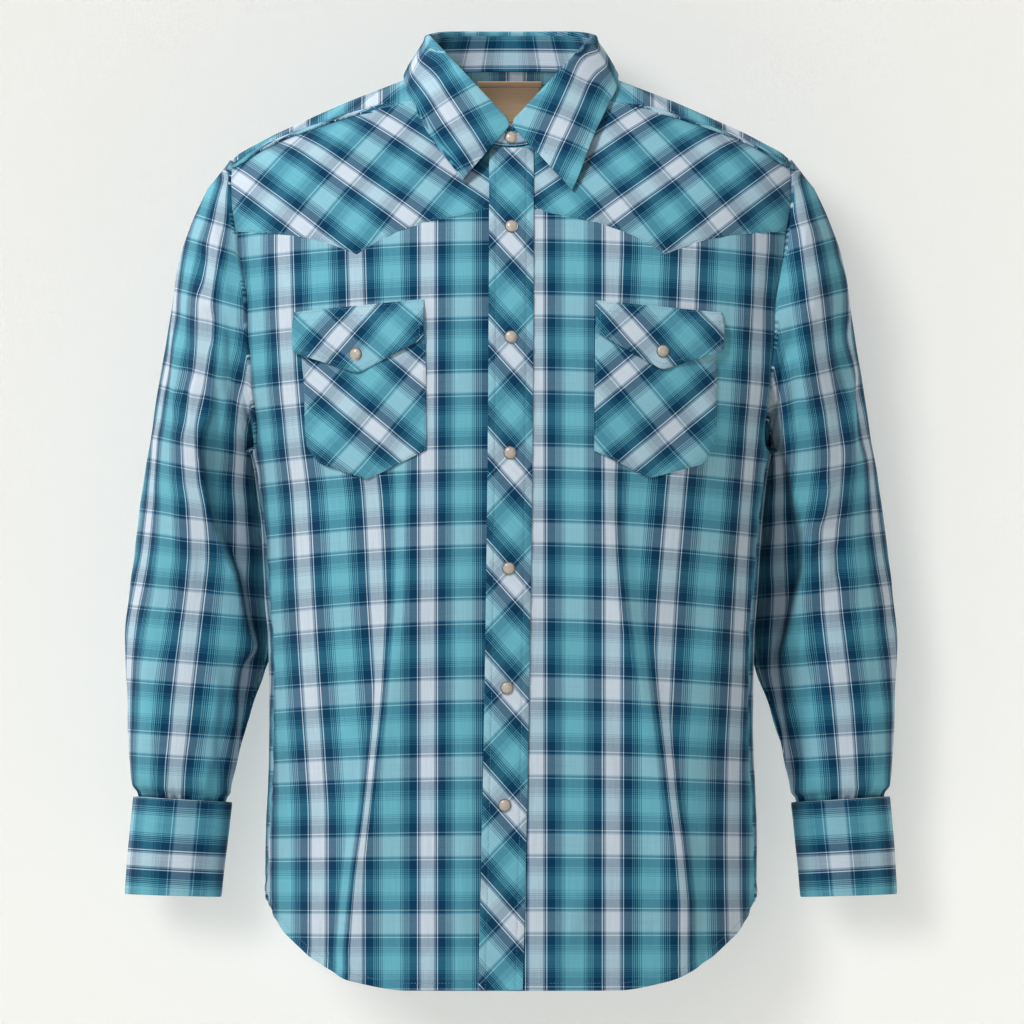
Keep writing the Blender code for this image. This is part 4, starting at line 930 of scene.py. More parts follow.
@dataclass
class Fronts:
    """Shirt fronts below the yokes."""

    wall: float = 0.0014
    droop: float = 0.0098
    droop_at: float = 0.18
    flat_to: float = 0.17
    grain: dict = field(default_factory=lambda: {
        Side.RIGHT: Grain(warp_at=0.0706, weft_at=-0.1764),
        Side.LEFT: Grain(warp_at=0.0213, weft_at=-0.1747, warp_scale=1.06),
    })

    def chart(self, side: Side) -> Array:
        """Angle and height of every point of one front.

        Args:
            side: which front.

        Returns:
            The (angle, z) grid.
        """
        t = runs((0, FRONT_POINT_SHARE, 1), (38, 32))
        s = runs((0, 0.009, UNDERARM_SHARE, 1), (3, 104, 54))
        top = float(FORM.front_yoke_z(np.array(0.0)))
        x = SEAMS.front_x(float(FORM.inner_edge_x(side, np.array(top))), t)
        z = FORM.front_yoke_z(np.abs(x)) - SEAMS.gap
        north = pair(FORM.front_angle(x, z), z)
        east = SEAMS.side_edge(s, -SEAMS.side_gap, 360 - SEAMS.yoke_armhole_turn)
        east[-1] = north[-1]
        hem0 = float(FORM.hem_z(np.array(0.0)))
        first = float(FORM.front_angle(FORM.inner_edge_x(side, np.array(hem0)), np.array(hem0)))
        angle = first + (east[0, 0] - first) * t
        south = pair(angle, FORM.hem_z(np.abs(angle)))
        south[-1] = east[0]
        z_west = np.interp(s, (0, UNDERARM_SHARE, 1), (hem0, FORM.underarm_z, north[0, 1]))
        west = pair(FORM.front_angle(FORM.inner_edge_x(side, z_west), z_west), z_west)
        west[0], west[-1] = south[0], north[0]
        return coons(south, north, west, east, t, s)

    def build(self, side: Side) -> Cloth:
        """Make one front.

        Args:
            side: which front.

        Returns:
            Its sheet.
        """
        angle, height = split(self.chart(side))
        grid = FORM.place_front(side, FORM.torso, angle, height)
        x, z = np.abs(grid[..., 0]), grid[..., 2]
        across = arc_across(grid, self.flat_to)
        hung = z + self.droop * (x / self.droop_at) ** 2 * Curve(DROOP_FADE)(z)
        uv = self.grain[side].lay(across + HANGING_FOLDS[side.value].cloth(x, z), Curve(WEFT_RUN)(hung))
        cloth = Cloth(f"front_{side.tag}", grid, uv, BODY_MIDDLE, self.wall, edge_round=0.0004)
        relief = SEAMS.relief(z - FORM.hem_z(np.abs(angle)), FORM.front_yoke_z(x) - z,
                              (FORM.side_angle(z) - angle) * SEAMS.metres_per_degree, across, z)
        strip = pucker(x - FORM.placket_half_width, z, 0.021, 0.012, 0.5)
        return SEAMS.finish(cloth, relief + 0.8 * SEAMS.pucker_height * strip, "north")


@dataclass
class FrontYokes:
    """Pointed yokes, cut on the bias."""

    wall: float = 0.0014
    grain: dict = field(default_factory=lambda: {
        Side.RIGHT: Grain(warp_at=0.0887, weft_at=-0.0992, angle=-52),
        Side.LEFT: Grain(warp_at=0.0901, weft_at=-0.0935, angle=-51.5),
    })

    def build(self, side: Side) -> Cloth:
        """Make one yoke.

        Args:
            side: which yoke.

        Returns:
            Its sheet.
        """
        t = runs((0, FRONT_NECK_SHARE, FRONT_POINT_SHARE, 1), (24, 12, 32))
        s = runs((0, 1), (36,))
        top = float(FORM.front_yoke_z(np.array(0.0)))
        x = SEAMS.front_x(float(FORM.inner_edge_x(side, np.array(top))), t)
        south = pair(x, FORM.shoulder_drop(x, FORM.front_yoke_z(np.abs(x)), -1))
        neck_end = float(FORM.neckline(np.array([0.0]))[0, 2])
        neck_x = float(FORM.inner_edge_x(side, np.array(neck_end)))
        first = math.copysign(math.degrees(math.asin(
            (abs(neck_x) / FORM.neck_half_width) ** (1 / FORM.neck_shape))), neck_x)
        turn = np.interp(t, (0, FRONT_NECK_SHARE), (first, SEAMS.neck_corner - SEAMS.neck_corner_gap))
        seam = SEAMS.shoulder_line(np.interp(t, (FRONT_NECK_SHARE, 1), (0, 1)), -SEAMS.shoulder_gap / 2)
        north = np.where((t <= FRONT_NECK_SHARE + 1e-9)[:, None], FORM.neck_shoulder(turn), seam)
        east = FORM.armhole_shoulder(np.interp(s, (0, 1), (-SEAMS.yoke_armhole_turn, SEAMS.shoulder_turn)))
        east[0], east[-1] = south[-1], north[-1]
        z_west = np.interp(s, (0, 1), (top, neck_end))
        x_west = FORM.inner_edge_x(side, z_west)
        west = pair(x_west, FORM.shoulder_drop(x_west, z_west, -1))
        west[0], west[-1] = south[0], north[0]
        x, drop = split(coons(south, north, west, east, t, s))
        grid = FORM.place_front(side, FORM.shoulder, x, drop)
        uv = self.grain[side].lay(np.abs(x), arc_up(grid))
        cloth = Cloth(f"front_yoke_{side.tag}", grid, uv, BODY_MIDDLE, self.wall, edge_round=0.0004)
        return SEAMS.finish(cloth, SEAMS.yoke_relief(arc_up(grid) - grid[:1, :, 2], x), "north")


@dataclass
class Back:
    """Back with the longer tail, and the yoke that comes forward over the shoulders."""

    wall: float = 0.0014
    grain: Grain = Grain(weft_at=-0.1764)
    yoke_grain: Grain = Grain(warp_at=0.0045, weft_at=-0.027)

    def build_back(self) -> Cloth:
        """Make the back.

        Returns:
            Its sheet.
        """
        t = runs((0, *BACK_NECK_SHARES, 1), (34, 60, 34))
        s = runs((0, 0.009, UNDERARM_SHARE, 1), (3, 104, 46))
        x = SEAMS.back_x(t)
        z = FORM.back_yoke_z(np.abs(x)) - SEAMS.gap
        north = pair(180 - FORM.front_angle(x, z), z)
        west = SEAMS.side_edge(s, SEAMS.side_gap, SEAMS.yoke_armhole_turn)
        west[-1] = north[0]
        east = pair(360 - west[:, 0], west[:, 1])
        east[-1] = north[-1]
        angle = west[0, 0] + (east[0, 0] - west[0, 0]) * t
        south = pair(angle, FORM.hem_z(180 - np.abs(180 - angle)))
        angle, height = split(coons(south, north, west, east, t, s))
        grid = FORM.torso(angle, height)
        x, z = grid[..., 0], grid[..., 2]
        run = running(steps(grid[..., :2], 1))
        across = run - run[:, len(t) // 2][:, None]
        hidden = [BACK_HANGING_FOLDS[side].cloth(x, z) for side in (-1, 1)]
        across = across + np.sign(across) * np.where(x < 0, *hidden)
        cloth = Cloth("back", grid, self.grain.lay(across, z), BODY_MIDDLE, self.wall, edge_round=0.0004)
        from_front = 180 - np.abs(180 - angle)
        relief = SEAMS.relief(z - FORM.hem_z(from_front), FORM.back_yoke_z(np.abs(x)) - z,
                              (from_front - FORM.side_angle(z)) * SEAMS.metres_per_degree, across, z)
        return SEAMS.finish(cloth, relief, "north", "west", "east")

    def build_yoke(self) -> Cloth:
        """Make the back yoke.

        Returns:
            Its sheet.
        """
        first, last = BACK_NECK_SHARES
        t = runs((0, first, last, 1), (34, 60, 34))
        s = runs((0, 1), (56,))
        x = SEAMS.back_x(t)
        south = pair(x, FORM.shoulder_drop(x, FORM.back_yoke_z(np.abs(x)), 1))
        corner = SEAMS.neck_corner + SEAMS.neck_corner_gap
        neck = FORM.neck_shoulder(np.interp(t, (first, last), (corner, 360 - corner)))
        near = SEAMS.shoulder_line(np.interp(t, (0, first), (1, 0)), SEAMS.shoulder_gap / 2)
        far = SEAMS.shoulder_line(np.interp(t, (last, 1), (0, 1)), SEAMS.shoulder_gap / 2) * (-1, 1)
        north = np.where((t < first - 1e-9)[:, None], near, np.where((t > last + 1e-9)[:, None], far, neck))
        west = FORM.armhole_shoulder(np.interp(s, (0, 1), (SEAMS.yoke_armhole_turn, SEAMS.shoulder_turn)))
        west[0], west[-1] = south[0], north[0]
        east = west * (-1, 1)
        east[0], east[-1] = south[-1], north[-1]
        x, drop = split(coons(south, north, west, east, t, s))
        grid = FORM.shoulder(x, drop)
        up = arc_up(grid)
        cloth = Cloth("back_yoke", grid, self.yoke_grain.lay(grid[..., 0], up), BODY_MIDDLE, self.wall,
                      edge_round=0.0004)
        return SEAMS.finish(cloth, SEAMS.yoke_relief(up - grid[:1, :, 2], x))


# --- What lies on the fronts ---


class SewnEdge(NamedTuple):
    """Relief beside a sewn edge, in millimetres: a rolled rim, the stitches' groove and gathers."""

    roll: float
    roll_reach: float
    groove: float
    groove_at: float
    groove_width: float
    gather: float
    gather_from: float
    gather_wave: float
    gather_reach: float

    def relief(self, edge: Array, along: Array, phase: float) -> Array:
        """Height in metres at a distance from the edge and a place along it."""
        inside = edge / MM
        gathers = pucker(inside - self.gather_from, along / MM, self.gather_wave, self.gather_reach, phase)
        return MM * (self.gather * gathers - self.roll * rolled(inside, self.roll_reach)
                     - self.groove * groove(inside, self.groove_at, self.groove_width))


class PocketPlan(NamedTuple):
    """Outline of a chest pocket and its flap, in distances from the middle and heights."""

    inner: float
    outer_top: float
    outer_bottom: float
    inner_z: float
    outer_z: float
    point_x: float
    point_z: float
    flap_inner: float
    flap_outer: float
    flap_top_inner: float
    flap_top_outer: float
    flap_inner_z: float
    flap_outer_z: float
    flap_point_x: float
    flap_point_z: float
    snap_x: float
    snap_z: float


POCKET_PLANS = {
    Side.RIGHT: PocketPlan(0.0712, 0.1790, 0.1703, -0.2979, -0.3033, 0.1214, -0.3229, 0.0734, 0.1833,
                           -0.1703, -0.1810, -0.2043, -0.2150, 0.1285, -0.2332, 0.1300, -0.2168),
    Side.LEFT: PocketPlan(0.0701, 0.1757, 0.1705, -0.2985, -0.3040, 0.1176, -0.3217, 0.0712, 0.1786,
                          -0.1714, -0.1816, -0.1985, -0.2139, 0.1265, -0.2305, 0.1265, -0.2145),
}


def rounded_line(corners: Sequence[tuple[float, float]], x: Array, radius: float) -> Array:
    """Height of straight runs between (x, z) corners, with the inner corners rounded off."""
    cx, cz = np.array(corners).T
    total = np.zeros(x.shape)
    offsets = np.linspace(-1, 1, 9)
    weights = 1 - offsets ** 2 * 0.9
    for offset, weight in zip(offsets, weights):
        inside = np.minimum(np.minimum(x - cx[0], cx[-1] - x), radius)
        total = total + weight * np.interp(x + offset * np.maximum(inside, 0.0), cx, cz)
    return total / weights.sum()


@dataclass
class Placket:
    """Strip down the opening, on the wearer's left front."""

    proud: float = 0.0025
    wall: float = 0.0011
    edge: SewnEdge = SewnEdge(0.6, 1.5, 0.6, 6.2, 1.0, 0.3, 4.0, 14.5, 6.0)
    snaps_z: tuple = (-0.1091, -0.2023, -0.3000, -0.3978, -0.4990, -0.5984)
    grain: Grain = Grain(warp_at=0.0003, weft_at=-0.1211, angle=44, weft_scale=1.09)

    def surface(self, x: Array, z: Array) -> Array:
        """Outer face of the strip."""
        edge = FORM.placket_half_width - np.abs(x - FORM.placket_centre(z))
        return FORM.lifted(FORM.front, x, z, self.proud + self.edge.relief(edge, z, 1.3))

    def build(self) -> Cloth:
        """Make the strip.

        Returns:
            Its sheet.
        """
        z = np.linspace(FORM.placket_bottom_z, FORM.placket_top_z, 240)[:, None]
        x = FORM.placket_centre(z) + FORM.placket_half_width * runs((-1, -0.86, 0.86, 1), (3, 44, 3))
        grid = self.surface(x, z + 0 * x)
        middle = x.shape[1] // 2
        uv = self.grain.lay(x, arc_up(grid[:, middle:middle + 1]) + 0 * x)
        return Cloth("placket", grid, uv, BODY_MIDDLE, self.wall, edge_round=0.0003)

    def snap_places(self) -> Places:
        """Point and outward direction of each snap."""
        places = {}
        for number, z in enumerate(np.array(self.snaps_z), start=1):
            x = FORM.placket_centre(z)
            here = self.surface(x, z)
            places[f"snap_front_{number}"] = (here, unit(here - FORM.front(x, z)))
        return places


@dataclass
class Pocket:
    """One chest pocket with its pointed flap."""

    side: Side
    wall: float = 0.0011
    flap_wall: float = 0.0013
    lift: float = 0.0023
    flap_lift: float = 0.0060
    mouth_drop: float = 0.016
    chamfer: float = 0.0100
    hinge: float = 0.45
    edge: SewnEdge = SewnEdge(0.6, 1.6, 0.3, 1.6, 0.8, 0.4, 2.0, 15.0, 7.0)
    flap_edge: SewnEdge = SewnEdge(0.7, 1.6, 0.3, 4.5, 1.1, 0.4, 3.0, 13.5, 6.0)
    grain: dict = field(default_factory=lambda: {
        Side.RIGHT: Grain(warp_at=0.1136, weft_at=-0.2805, angle=-50),
        Side.LEFT: Grain(warp_at=0.1348, weft_at=-0.2805, angle=-50),
    })
    flap_grain: dict = field(default_factory=lambda: {
        Side.RIGHT: Grain(warp_at=0.1445, weft_at=-0.2023, angle=40.5),
        Side.LEFT: Grain(warp_at=0.1024, weft_at=-0.1978, angle=41),
    })

    def __post_init__(self) -> None:
        """Look the outline up."""
        self.plan = POCKET_PLANS[self.side]

    def _laid(self, x: Array, z: Array, lift: Array) -> Array:
        """Points above the front."""
        return FORM.lifted(FORM.front, x * self.side.value, z, lift)

    def _flap_top(self, x: Array) -> Array:
        """Height of the flap's top edge."""
        p = self.plan
        return np.interp(x, (p.flap_inner, p.flap_outer), (p.flap_top_inner, p.flap_top_outer))

    def flap_height(self, share: Array) -> Array:
        """Height of the flap's outer face; share is 0 at its lower edge and 1 at its top."""
        hinge = ease((share - 1 + self.hinge) / self.hinge)
        return self.flap_lift + (self.lift - 0.0004 - self.flap_lift) * hinge

    def build_bag(self) -> Cloth:
        """Make the pocket.

        Returns:
            Its sheet.
        """
        p = self.plan
        t = np.linspace(0, 1, 42)
        s = runs((0, 0.03, 1), (2, 44))
        corner_x, corner_z = p.outer_bottom - self.chamfer, p.outer_z - 0.0052
        low = np.interp(t, (0, 0.45, 0.87, 1), (p.inner, p.point_x, corner_x, p.outer_bottom))
        high = np.interp(t, (0, 0.45, 1), (p.inner + 0.001, p.point_x, p.outer_top))
        bottom = rounded_line(((p.inner, p.inner_z), (p.point_x, p.point_z), (corner_x, corner_z),
                               (p.outer_bottom, p.outer_z + 0.0085)), low, 0.0035)
        top = self._flap_top(high) - self.mouth_drop
        x = low + (high - low) * s[:, None]
        z = bottom + (top - bottom) * s[:, None]
        edge = np.minimum(np.minimum(x - p.inner, z - bottom), x[:, -1:] - x)
        lift = (self.lift + 0.0010 * ease(edge / 0.045) + self.edge.relief(edge, x + z, self.side.value)
                + 0.0006 * FORM.ripple(x * 2.1 + 0.3, z * 2.1))
        uv = self.grain[self.side].lay(x, z)
        return Cloth(f"pocket_{self.side.tag}", self._laid(x, z, lift), uv, BODY_MIDDLE, self.wall,
                     edge_round=0.0003)

    def build_flap(self) -> Cloth:
        """Make the flap.

        Returns:
            Its sheet.
        """
        p = self.plan
        t = runs((0, 0.02, 0.5, 0.98, 1), (2, 20, 20, 2))
        s = runs((0, 0.05, 1), (2, 22))
        x = np.interp(t, (0, 0.5, 1), (p.flap_inner, p.flap_point_x, p.flap_outer))
        bottom = rounded_line(((p.flap_inner, p.flap_inner_z), (p.flap_point_x, p.flap_point_z),
                               (p.flap_outer, p.flap_outer_z)), x, 0.0055)
        bottom = bottom + 0.0016 * (rolled(x - p.flap_inner, 0.0025) + rolled(p.flap_outer - x, 0.0025))
        s = s[:, None]
        z = bottom + (self._flap_top(x) - bottom) * s
        x = x + 0 * z
        edge = np.minimum(np.minimum(x - p.flap_inner, p.flap_outer - x), z - bottom)
        lift = (self.flap_height(s) + self.flap_edge.relief(edge, x + z, 2 * self.side.value)
                + 0.0007 * ease(1 - s / 0.5) * np.sin(x * 160 + self.side.value))
        uv = self.flap_grain[self.side].lay(x, z)
        return Cloth(f"pocket_flap_{self.side.tag}", self._laid(x, z, lift), uv, BODY_MIDDLE, self.flap_wall,
                     edge_round=0.0003)

    def snap_place(self) -> tuple[Array, Array]:
        """Point and outward direction of the flap's snap."""
        p = self.plan
        bottom = np.interp(p.snap_x, (p.flap_inner, p.flap_point_x, p.flap_outer),
                           (p.flap_inner_z, p.flap_point_z, p.flap_outer_z))
        lift = self.flap_height(np.array((p.snap_z - bottom) / (self._flap_top(p.snap_x) - bottom)))
        x, z = np.array(p.snap_x), np.array(p.snap_z)
        here = self._laid(x, z, lift)
        return here, unit(self._laid(x, z, lift + 0.01) - here)


# --- Sleeves and cuffs ---


class TurnFold(NamedTuple):
    """Ridge or trough on a sleeve: turn in degrees, ring number, reach in rings."""

    turn0: float
    ring0: float
    turn1: float
    ring1: float
    reach: float
    height: float


def turn_folds(*rows: Row) -> tuple[TurnFold, ...]:
    """Sleeve folds from rows whose heights are in millimetres."""
    return tuple(TurnFold(*row) for row in table(*rows, plain=5))


SLEEVE_RINGS = table(  # outer x, outer z, inner x, inner z, middle y, half depth
    (257.5, -75, 217, -301.5, 0, 60), (271.2, -105, 216, -308, 4, 65.5), (280.8, -140, 215, -320, 11, 69),
    (288, -180, 213.8, -336, 19, 70), (295.5, -225, 212, -355, 27, 67), (303.2, -270, 209.8, -378, 34, 63),
    (310.3, -315, 207.3, -403, 41, 59), (315.2, -360, 205, -430, 46, 55.5), (320, -405, 205, -458, 49, 52),
    (323.4, -450, 211, -487, 50, 49), (326.2, -495, 220.5, -517, 49, 46.5),
    (326.8, -535, 230, -548, 47, 44.5), (324, -570, 237, -578, 44, 43),
    (320.3, -590.5, 240, -595.5, 43, 36))
LAST_RING = len(SLEEVE_RINGS)
SLEEVE_FOLDS = turn_folds(
    (316, 3, 300, 6, 1.5, 4.5), (300, 5.5, 232, 9.5, 1.5, 5), (212, 8, 255, 10.2, 1.2, -4.5),
    (255, 10.2, 222, 12.6, 1.2, 4), (330, 10, 275, 12.2, 1.3, 3.5), (245, 1.5, 232, 5.5, 1.5, -4),
    (60, 3, 100, 7, 1.6, 5), (115, 6.5, 70, 9.5, 1.4, -4.5), (80, 9, 130, 11.5, 1.3, 4.5),
    (30, 7.5, -12, 10, 1.3, 3))
SLEEVE_CREASES = turn_folds(
    (262, 0.6, 250, 4, 0.55, 2.2), (285, 0.6, 282, 3.4, 0.5, -1.8), (238, 0.6, 236, 3.6, 0.5, 2),
    (330, 4, 292, 7.6, 0.6, -2.2), (312, 6.8, 250, 9, 0.55, 2.6), (290, 8.2, 228, 10.6, 0.55, -2.4),
    (300, 9.6, 240, 11.6, 0.5, 2.4), (345, 9, 300, 11, 0.5, 1.8), (305, 11.4, 262, 13.4, 0.45, -1.8),
    (325, 12.2, 318, 14, 0.4, 2), (292, 12.4, 290, 14, 0.35, 1.8), (268, 12.4, 270, 14, 0.35, -1.6),
    (60, 1, 78, 4.4, 0.6, 2.2), (90, 0.8, 100, 4, 0.5, -2), (70, 5.5, 128, 8.2, 0.6, 2.4),
    (105, 8.4, 60, 10.8, 0.55, -2.2), (55, 11.6, 52, 14, 0.4, 2.4), (40, 11.6, 38, 14, 0.35, -2),
    (120, 11.8, 124, 14, 0.4, 2), (200, 6, 205, 9, 0.6, 1.8))


PALE_BAND = {  # (z, distance from the middle) of the pale warp band ahead
    Side.RIGHT: table((-70, 244), (-102, 247.5), (-119, 251.6), (-153, 257.1), (-170, 259.7), (-204, 260.3),
        (-238, 264.4), (-272, 269.5), (-289, 272), (-323, 270.3), (-347, 266.9), (-382, 265), (-418, 268.6),
        (-447, 272.3), (-495.5, 278), (-535, 281.8), (-567, 285), (-600, 287.2)),
    Side.LEFT: table((-70, 244), (-102, 247.4), (-110.5, 249.9), (-136, 253.3), (-170, 257.6), (-204, 261),
        (-238, 266.1), (-272, 271.2), (-306, 274.6), (-340, 272.9), (-374, 269.5), (-425, 272), (-459, 275.4),
        (-493, 279.7), (-527, 283.1), (-561, 285.6), (-600, 288)),
}
WEFT_LEAN = ((-0.07, 0.30), (-0.17, 0.27), (-0.24, 0.24), (-0.30, 0.19), (-0.36, 0.13), (-0.42, 0.10),
             (-0.50, 0.07), (-0.58, 0.055))
SLEEVE_RADIUS = table(
    (-70, 47), (-300, 47), (-355, 52), (-403, 57.5), (-458, 61), (-517, 53.6), (-548, 48), (-578, 43),
    (-600, 40))
FALLS = {  # (z, distance from the middle of a fold's edge, how far the cloth falls back beside the body)
    Side.RIGHT: table((-120, 244, 0), (-170, 255, 4.3), (-221, 253.5, 6.5), (-265, 256, 10.1),
        (-297, 265.2, 21.7), (-323, 261, 30.5), (-347, 257.1, 33.3), (-376, 248.2, 33.3), (-405, 235, 30.5),
        (-424, 230.3, 29), (-447, 225, 26.1), (-464, 220, 21.7), (-483, 232, 15.9), (-508, 235, 13),
        (-547, 235.4, 10.1), (-590, 238.5, 0)),
    Side.LEFT: table((-150, 218, 0), (-196, 219, 11.6), (-255, 226.1, 23.2), (-306, 234.6, 30.5),
        (-340, 241.4, 34.8), (-374, 249.9, 36.2), (-391, 250.8, 36.2), (-425, 243.1, 34.8),
        (-459, 234.6, 27.5), (-472, 231.2, 21.7), (-510, 233.7, 14.5), (-544, 237.2, 10.1), (-590, 240, 0)),
}
SKIPPED = {  # (z, cloth hidden behind the fold's edge)
    Side.LEFT: table((-100, -2), (-290, -2), (-340, 6), (-378, 16), (-425, 18), (-460, 15), (-500, 8),
        (-620, 6)),
    Side.RIGHT: table((-100, 6), (-290, 6), (-340, 16), (-400, 24), (-440, 19), (-500, 12), (-620, 6)),
}
AHEAD_FOLDS = {  # folds on the sleeves' fronts
    Side.RIGHT: folds((264, -120, 257.5, -175, 9, -3), (257.5, -175, 255, -215, 9, -3.5),
        (284, -180, 279, -290, 9, 3.2), (273, -215, 279, -290, 8, -3.2), (270, -230, 264, -290, 10, 3),
        (245, -185, 250, -260, 10, 3), (240, -170, 233, -300, 10, -3.5), (283, -330, 270, -420, 14, 3),
        (288, -400, 293, -480, 12, -2.8), (270, -380, 256, -430, 10, -3), (256, -450, 250, -540, 11, 2.8),
        (308, -460, 304, -560, 11, 2.5), (245, -500, 248, -585, 8, -2.8), (270, -545, 272, -590, 7, -2.2),
        (295, -550, 298, -590, 7, 2.2), (260, -560, 261, -590, 6, 2)),
    Side.LEFT: folds((278, -130, 285, -200, 8, 3), (285, -200, 287, -330, 9, 3.5),
        (276, -160, 280, -260, 8, -2.8), (295, -230, 300, -310, 9, -3), (248, -170, 252, -240, 10, 3),
        (236, -180, 245, -290, 10, -3.4), (269.5, -318, 260, -365, 8, 4.6), (260, -365, 248, -400, 8, 3.6),
        (276.2, -372, 280, -412, 8, -3.5), (288, -350, 293, -430, 12, 2.8), (250, -440, 244, -520, 11, 3),
        (262, -420, 258, -500, 10, -2.6), (310, -430, 313, -520, 11, -2.5), (242, -500, 246, -585, 8, -2.8),
        (306, -555, 312, -585, 7, 2.5), (279, -555, 280, -590, 6, -2), (264, -565, 265, -590, 6, 2)),
}


@dataclass
class Sleeve:
    """Sleeve from the armhole to the cuff, and the strip over its slit."""

    side: Side
    wall: float = 0.0014
    armhole_gap: tuple = (0.0030, 0.0, -0.0006)
    armhole_middle: tuple = (0.232, 0.0, -0.17)
    degrees_per_ring: float = 45.0
    ripple_height: float = 0.0010
    grain: Grain = Grain(weft_at=-0.17085, weft_scale=0.975)
    strip_turns: tuple = (68.0, 98.0)
    fall_width: float = 0.0065
    cuff_tuck: float = 0.0034

    def __post_init__(self) -> None:
        """Make the lines that the rings follow."""
        self.lines = curves([(n, *row) for n, row in enumerate(SLEEVE_RINGS, start=1)])
        self.ripple = Ripple(21, short=0.025, long=0.11)
        self.fall_edge, self.fall_depth = curves(FALLS[self.side])

    def rest(self, turn: Array, ring: Array) -> Array:
        """Left sleeve without folds; ring 0 is just outside the armhole."""
        turn, ring = np.broadcast_arrays(np.asarray(turn, float), np.asarray(ring, float))
        rounds = oval(turn, *(line(np.maximum(ring, 1)) for line in self.lines))
        start = FORM.torso(*split(FORM.armhole(turn))) + np.array(self.armhole_gap)
        share = np.clip(ring, 0, 1)[..., None]
        return start * (1 - share) + rounds * share

    def _height(self, turn: Array, ring: Array) -> Array:
        """Height of the sleeve's folds."""
        total = np.zeros(np.broadcast(turn, ring).shape)
        for fold in SLEEVE_FOLDS + SLEEVE_CREASES:
            around = np.mod(turn - fold.turn0 + 180, 360) - 180
            run = np.array(((fold.turn1 - fold.turn0) / self.degrees_per_ring, fold.ring1 - fold.ring0))
            hx, hy = around / self.degrees_per_ring, ring - fold.ring0
            along = np.clip((hx * run[0] + hy * run[1]) / (run @ run), 0, 1)
            across = np.hypot(hx - run[0] * along, hy - run[1] * along) / fold.reach
            total = total + fold.height * np.clip(1 - across ** 2, 0, None) ** 2
        return total

    def outer(self, turn: Array, ring: Array) -> Array:
        """Left sleeve's outer face."""
        turn, ring = np.broadcast_arrays(np.asarray(turn, float), np.asarray(ring, float))
        around = self.rest(turn + 4, ring) - self.rest(turn - 4, ring)
        below, above = np.minimum(ring + 0.5, LAST_RING), np.maximum(ring - 0.5, 0)
        normal = unit(np.cross(self.rest(turn, below) - self.rest(turn, above), around))
        fade = ease(ring / 1.5) * ease((LAST_RING - ring) / 1.5)
        crease = ease(ring / 0.8) * ease((LAST_RING - ring + 0.25) / 0.6)
        arc, run = np.radians(turn) * 0.055, ring * 0.042
        gathers = 0.0014 * pucker((LAST_RING - ring) * 0.042, arc, 0.021, 0.020, 0.7)
        ease_in = 0.0006 * pucker(ring * 0.035, arc, 0.018, 0.014, 2.1)
        smooth = self.rest(turn, ring)
        ahead = self._ahead(turn)
        shown = FORM.fold_heights(AHEAD_FOLDS[self.side], smooth[..., 0], smooth[..., 2])
        folded = self._height(turn, ring) * (1 - 0.7 * ahead) + ahead * shown
        height = (folded * np.minimum(fade, crease) + gathers + ease_in
                  + self.ripple_height * crease * self.ripple(arc, run + 0.3 * self.side.value))
        back = self.fall_depth(smooth[..., 2]) * self._fallen(smooth) * ahead
        height = height - self.cuff_tuck * ease((ring - LAST_RING + 0.42) / 0.42)
        return smooth + normal * height[..., None] + points(0, back, 0)

    def _ahead(self, turn: Array) -> Array:
        """1 on the sleeve's front and 0 behind."""
        return ease(-np.sin(np.radians(turn)) / 0.35)

    def _fallen(self, grid: Array) -> Array:
        """1 where the cloth has fallen back beside the body and 0 outside the fold's edge."""
        return ease((self.fall_edge(grid[..., 2]) - grid[..., 0]) / self.fall_width)

    def _cloth_run(self, grid: Array) -> Array:
        """Distance down the sleeve of each point, along lines that sag towards the body."""
        z = grid[..., 2]
        outer_x = Curve([(row[1], row[0]) for row in SLEEVE_RINGS])(z)
        return z + Curve(WEFT_LEAN)(z) * (outer_x - grid[..., 0])

    def _cloth_round(self, grid: Array, turn: Array) -> Array:
        """Distance round the sleeve of each point, from its outer side.

        Args:
            grid: points before they are folded.
            turn: their turns in degrees, from 180 under the arm to 540.

        Returns:
            Metres from the pale band ahead, negative towards the body.
        """
        z = grid[..., 2]
        level = Curve([(-0.035, 0.2200), (-0.055, 0.2400)] + [(row[1], row[0]) for row in SLEEVE_RINGS])(z)
        radius = Curve(SLEEVE_RADIUS)(z)
        sections = curves([((row[1] + row[3]) / 2, *row[4:]) for row in SLEEVE_RINGS])
        middle_y, depth = (line(z) for line in sections)
        share = (grid[..., 0] - level + radius) / radius
        facing = np.where((turn < 360), -1.0, 1.0)
        by_depth = np.arctan2((grid[..., 1] - middle_y) / depth, share)
        by_depth = np.where(facing * by_depth < -math.pi / 2, by_depth + facing * 2 * math.pi, by_depth)
        past = np.maximum(-0.9 - share, 0)
        by_width = facing * (np.arccos(np.clip(share, -0.9, 1)) + past / math.sqrt(1 - 0.81))
        mixed = ease((np.abs(by_width) - 0.45) / 0.5)
        angle = by_depth * (1 - mixed) + by_width * mixed
        across = np.clip((Curve(PALE_BAND[self.side])(z) - level + radius) / radius, -1, 1)
        ahead = self._ahead(turn)
        skipped = Curve(SKIPPED[self.side])(z) * self._fallen(grid) * ahead
        arc = (angle + np.arccos(across)) * (radius + depth) / 2 - skipped
        middle = int(np.argmin(np.abs(turn - 360)))
        arc[:, middle:] = arc[:, middle:middle + 1] + running(steps(grid[:, middle:], 1))
        return arc

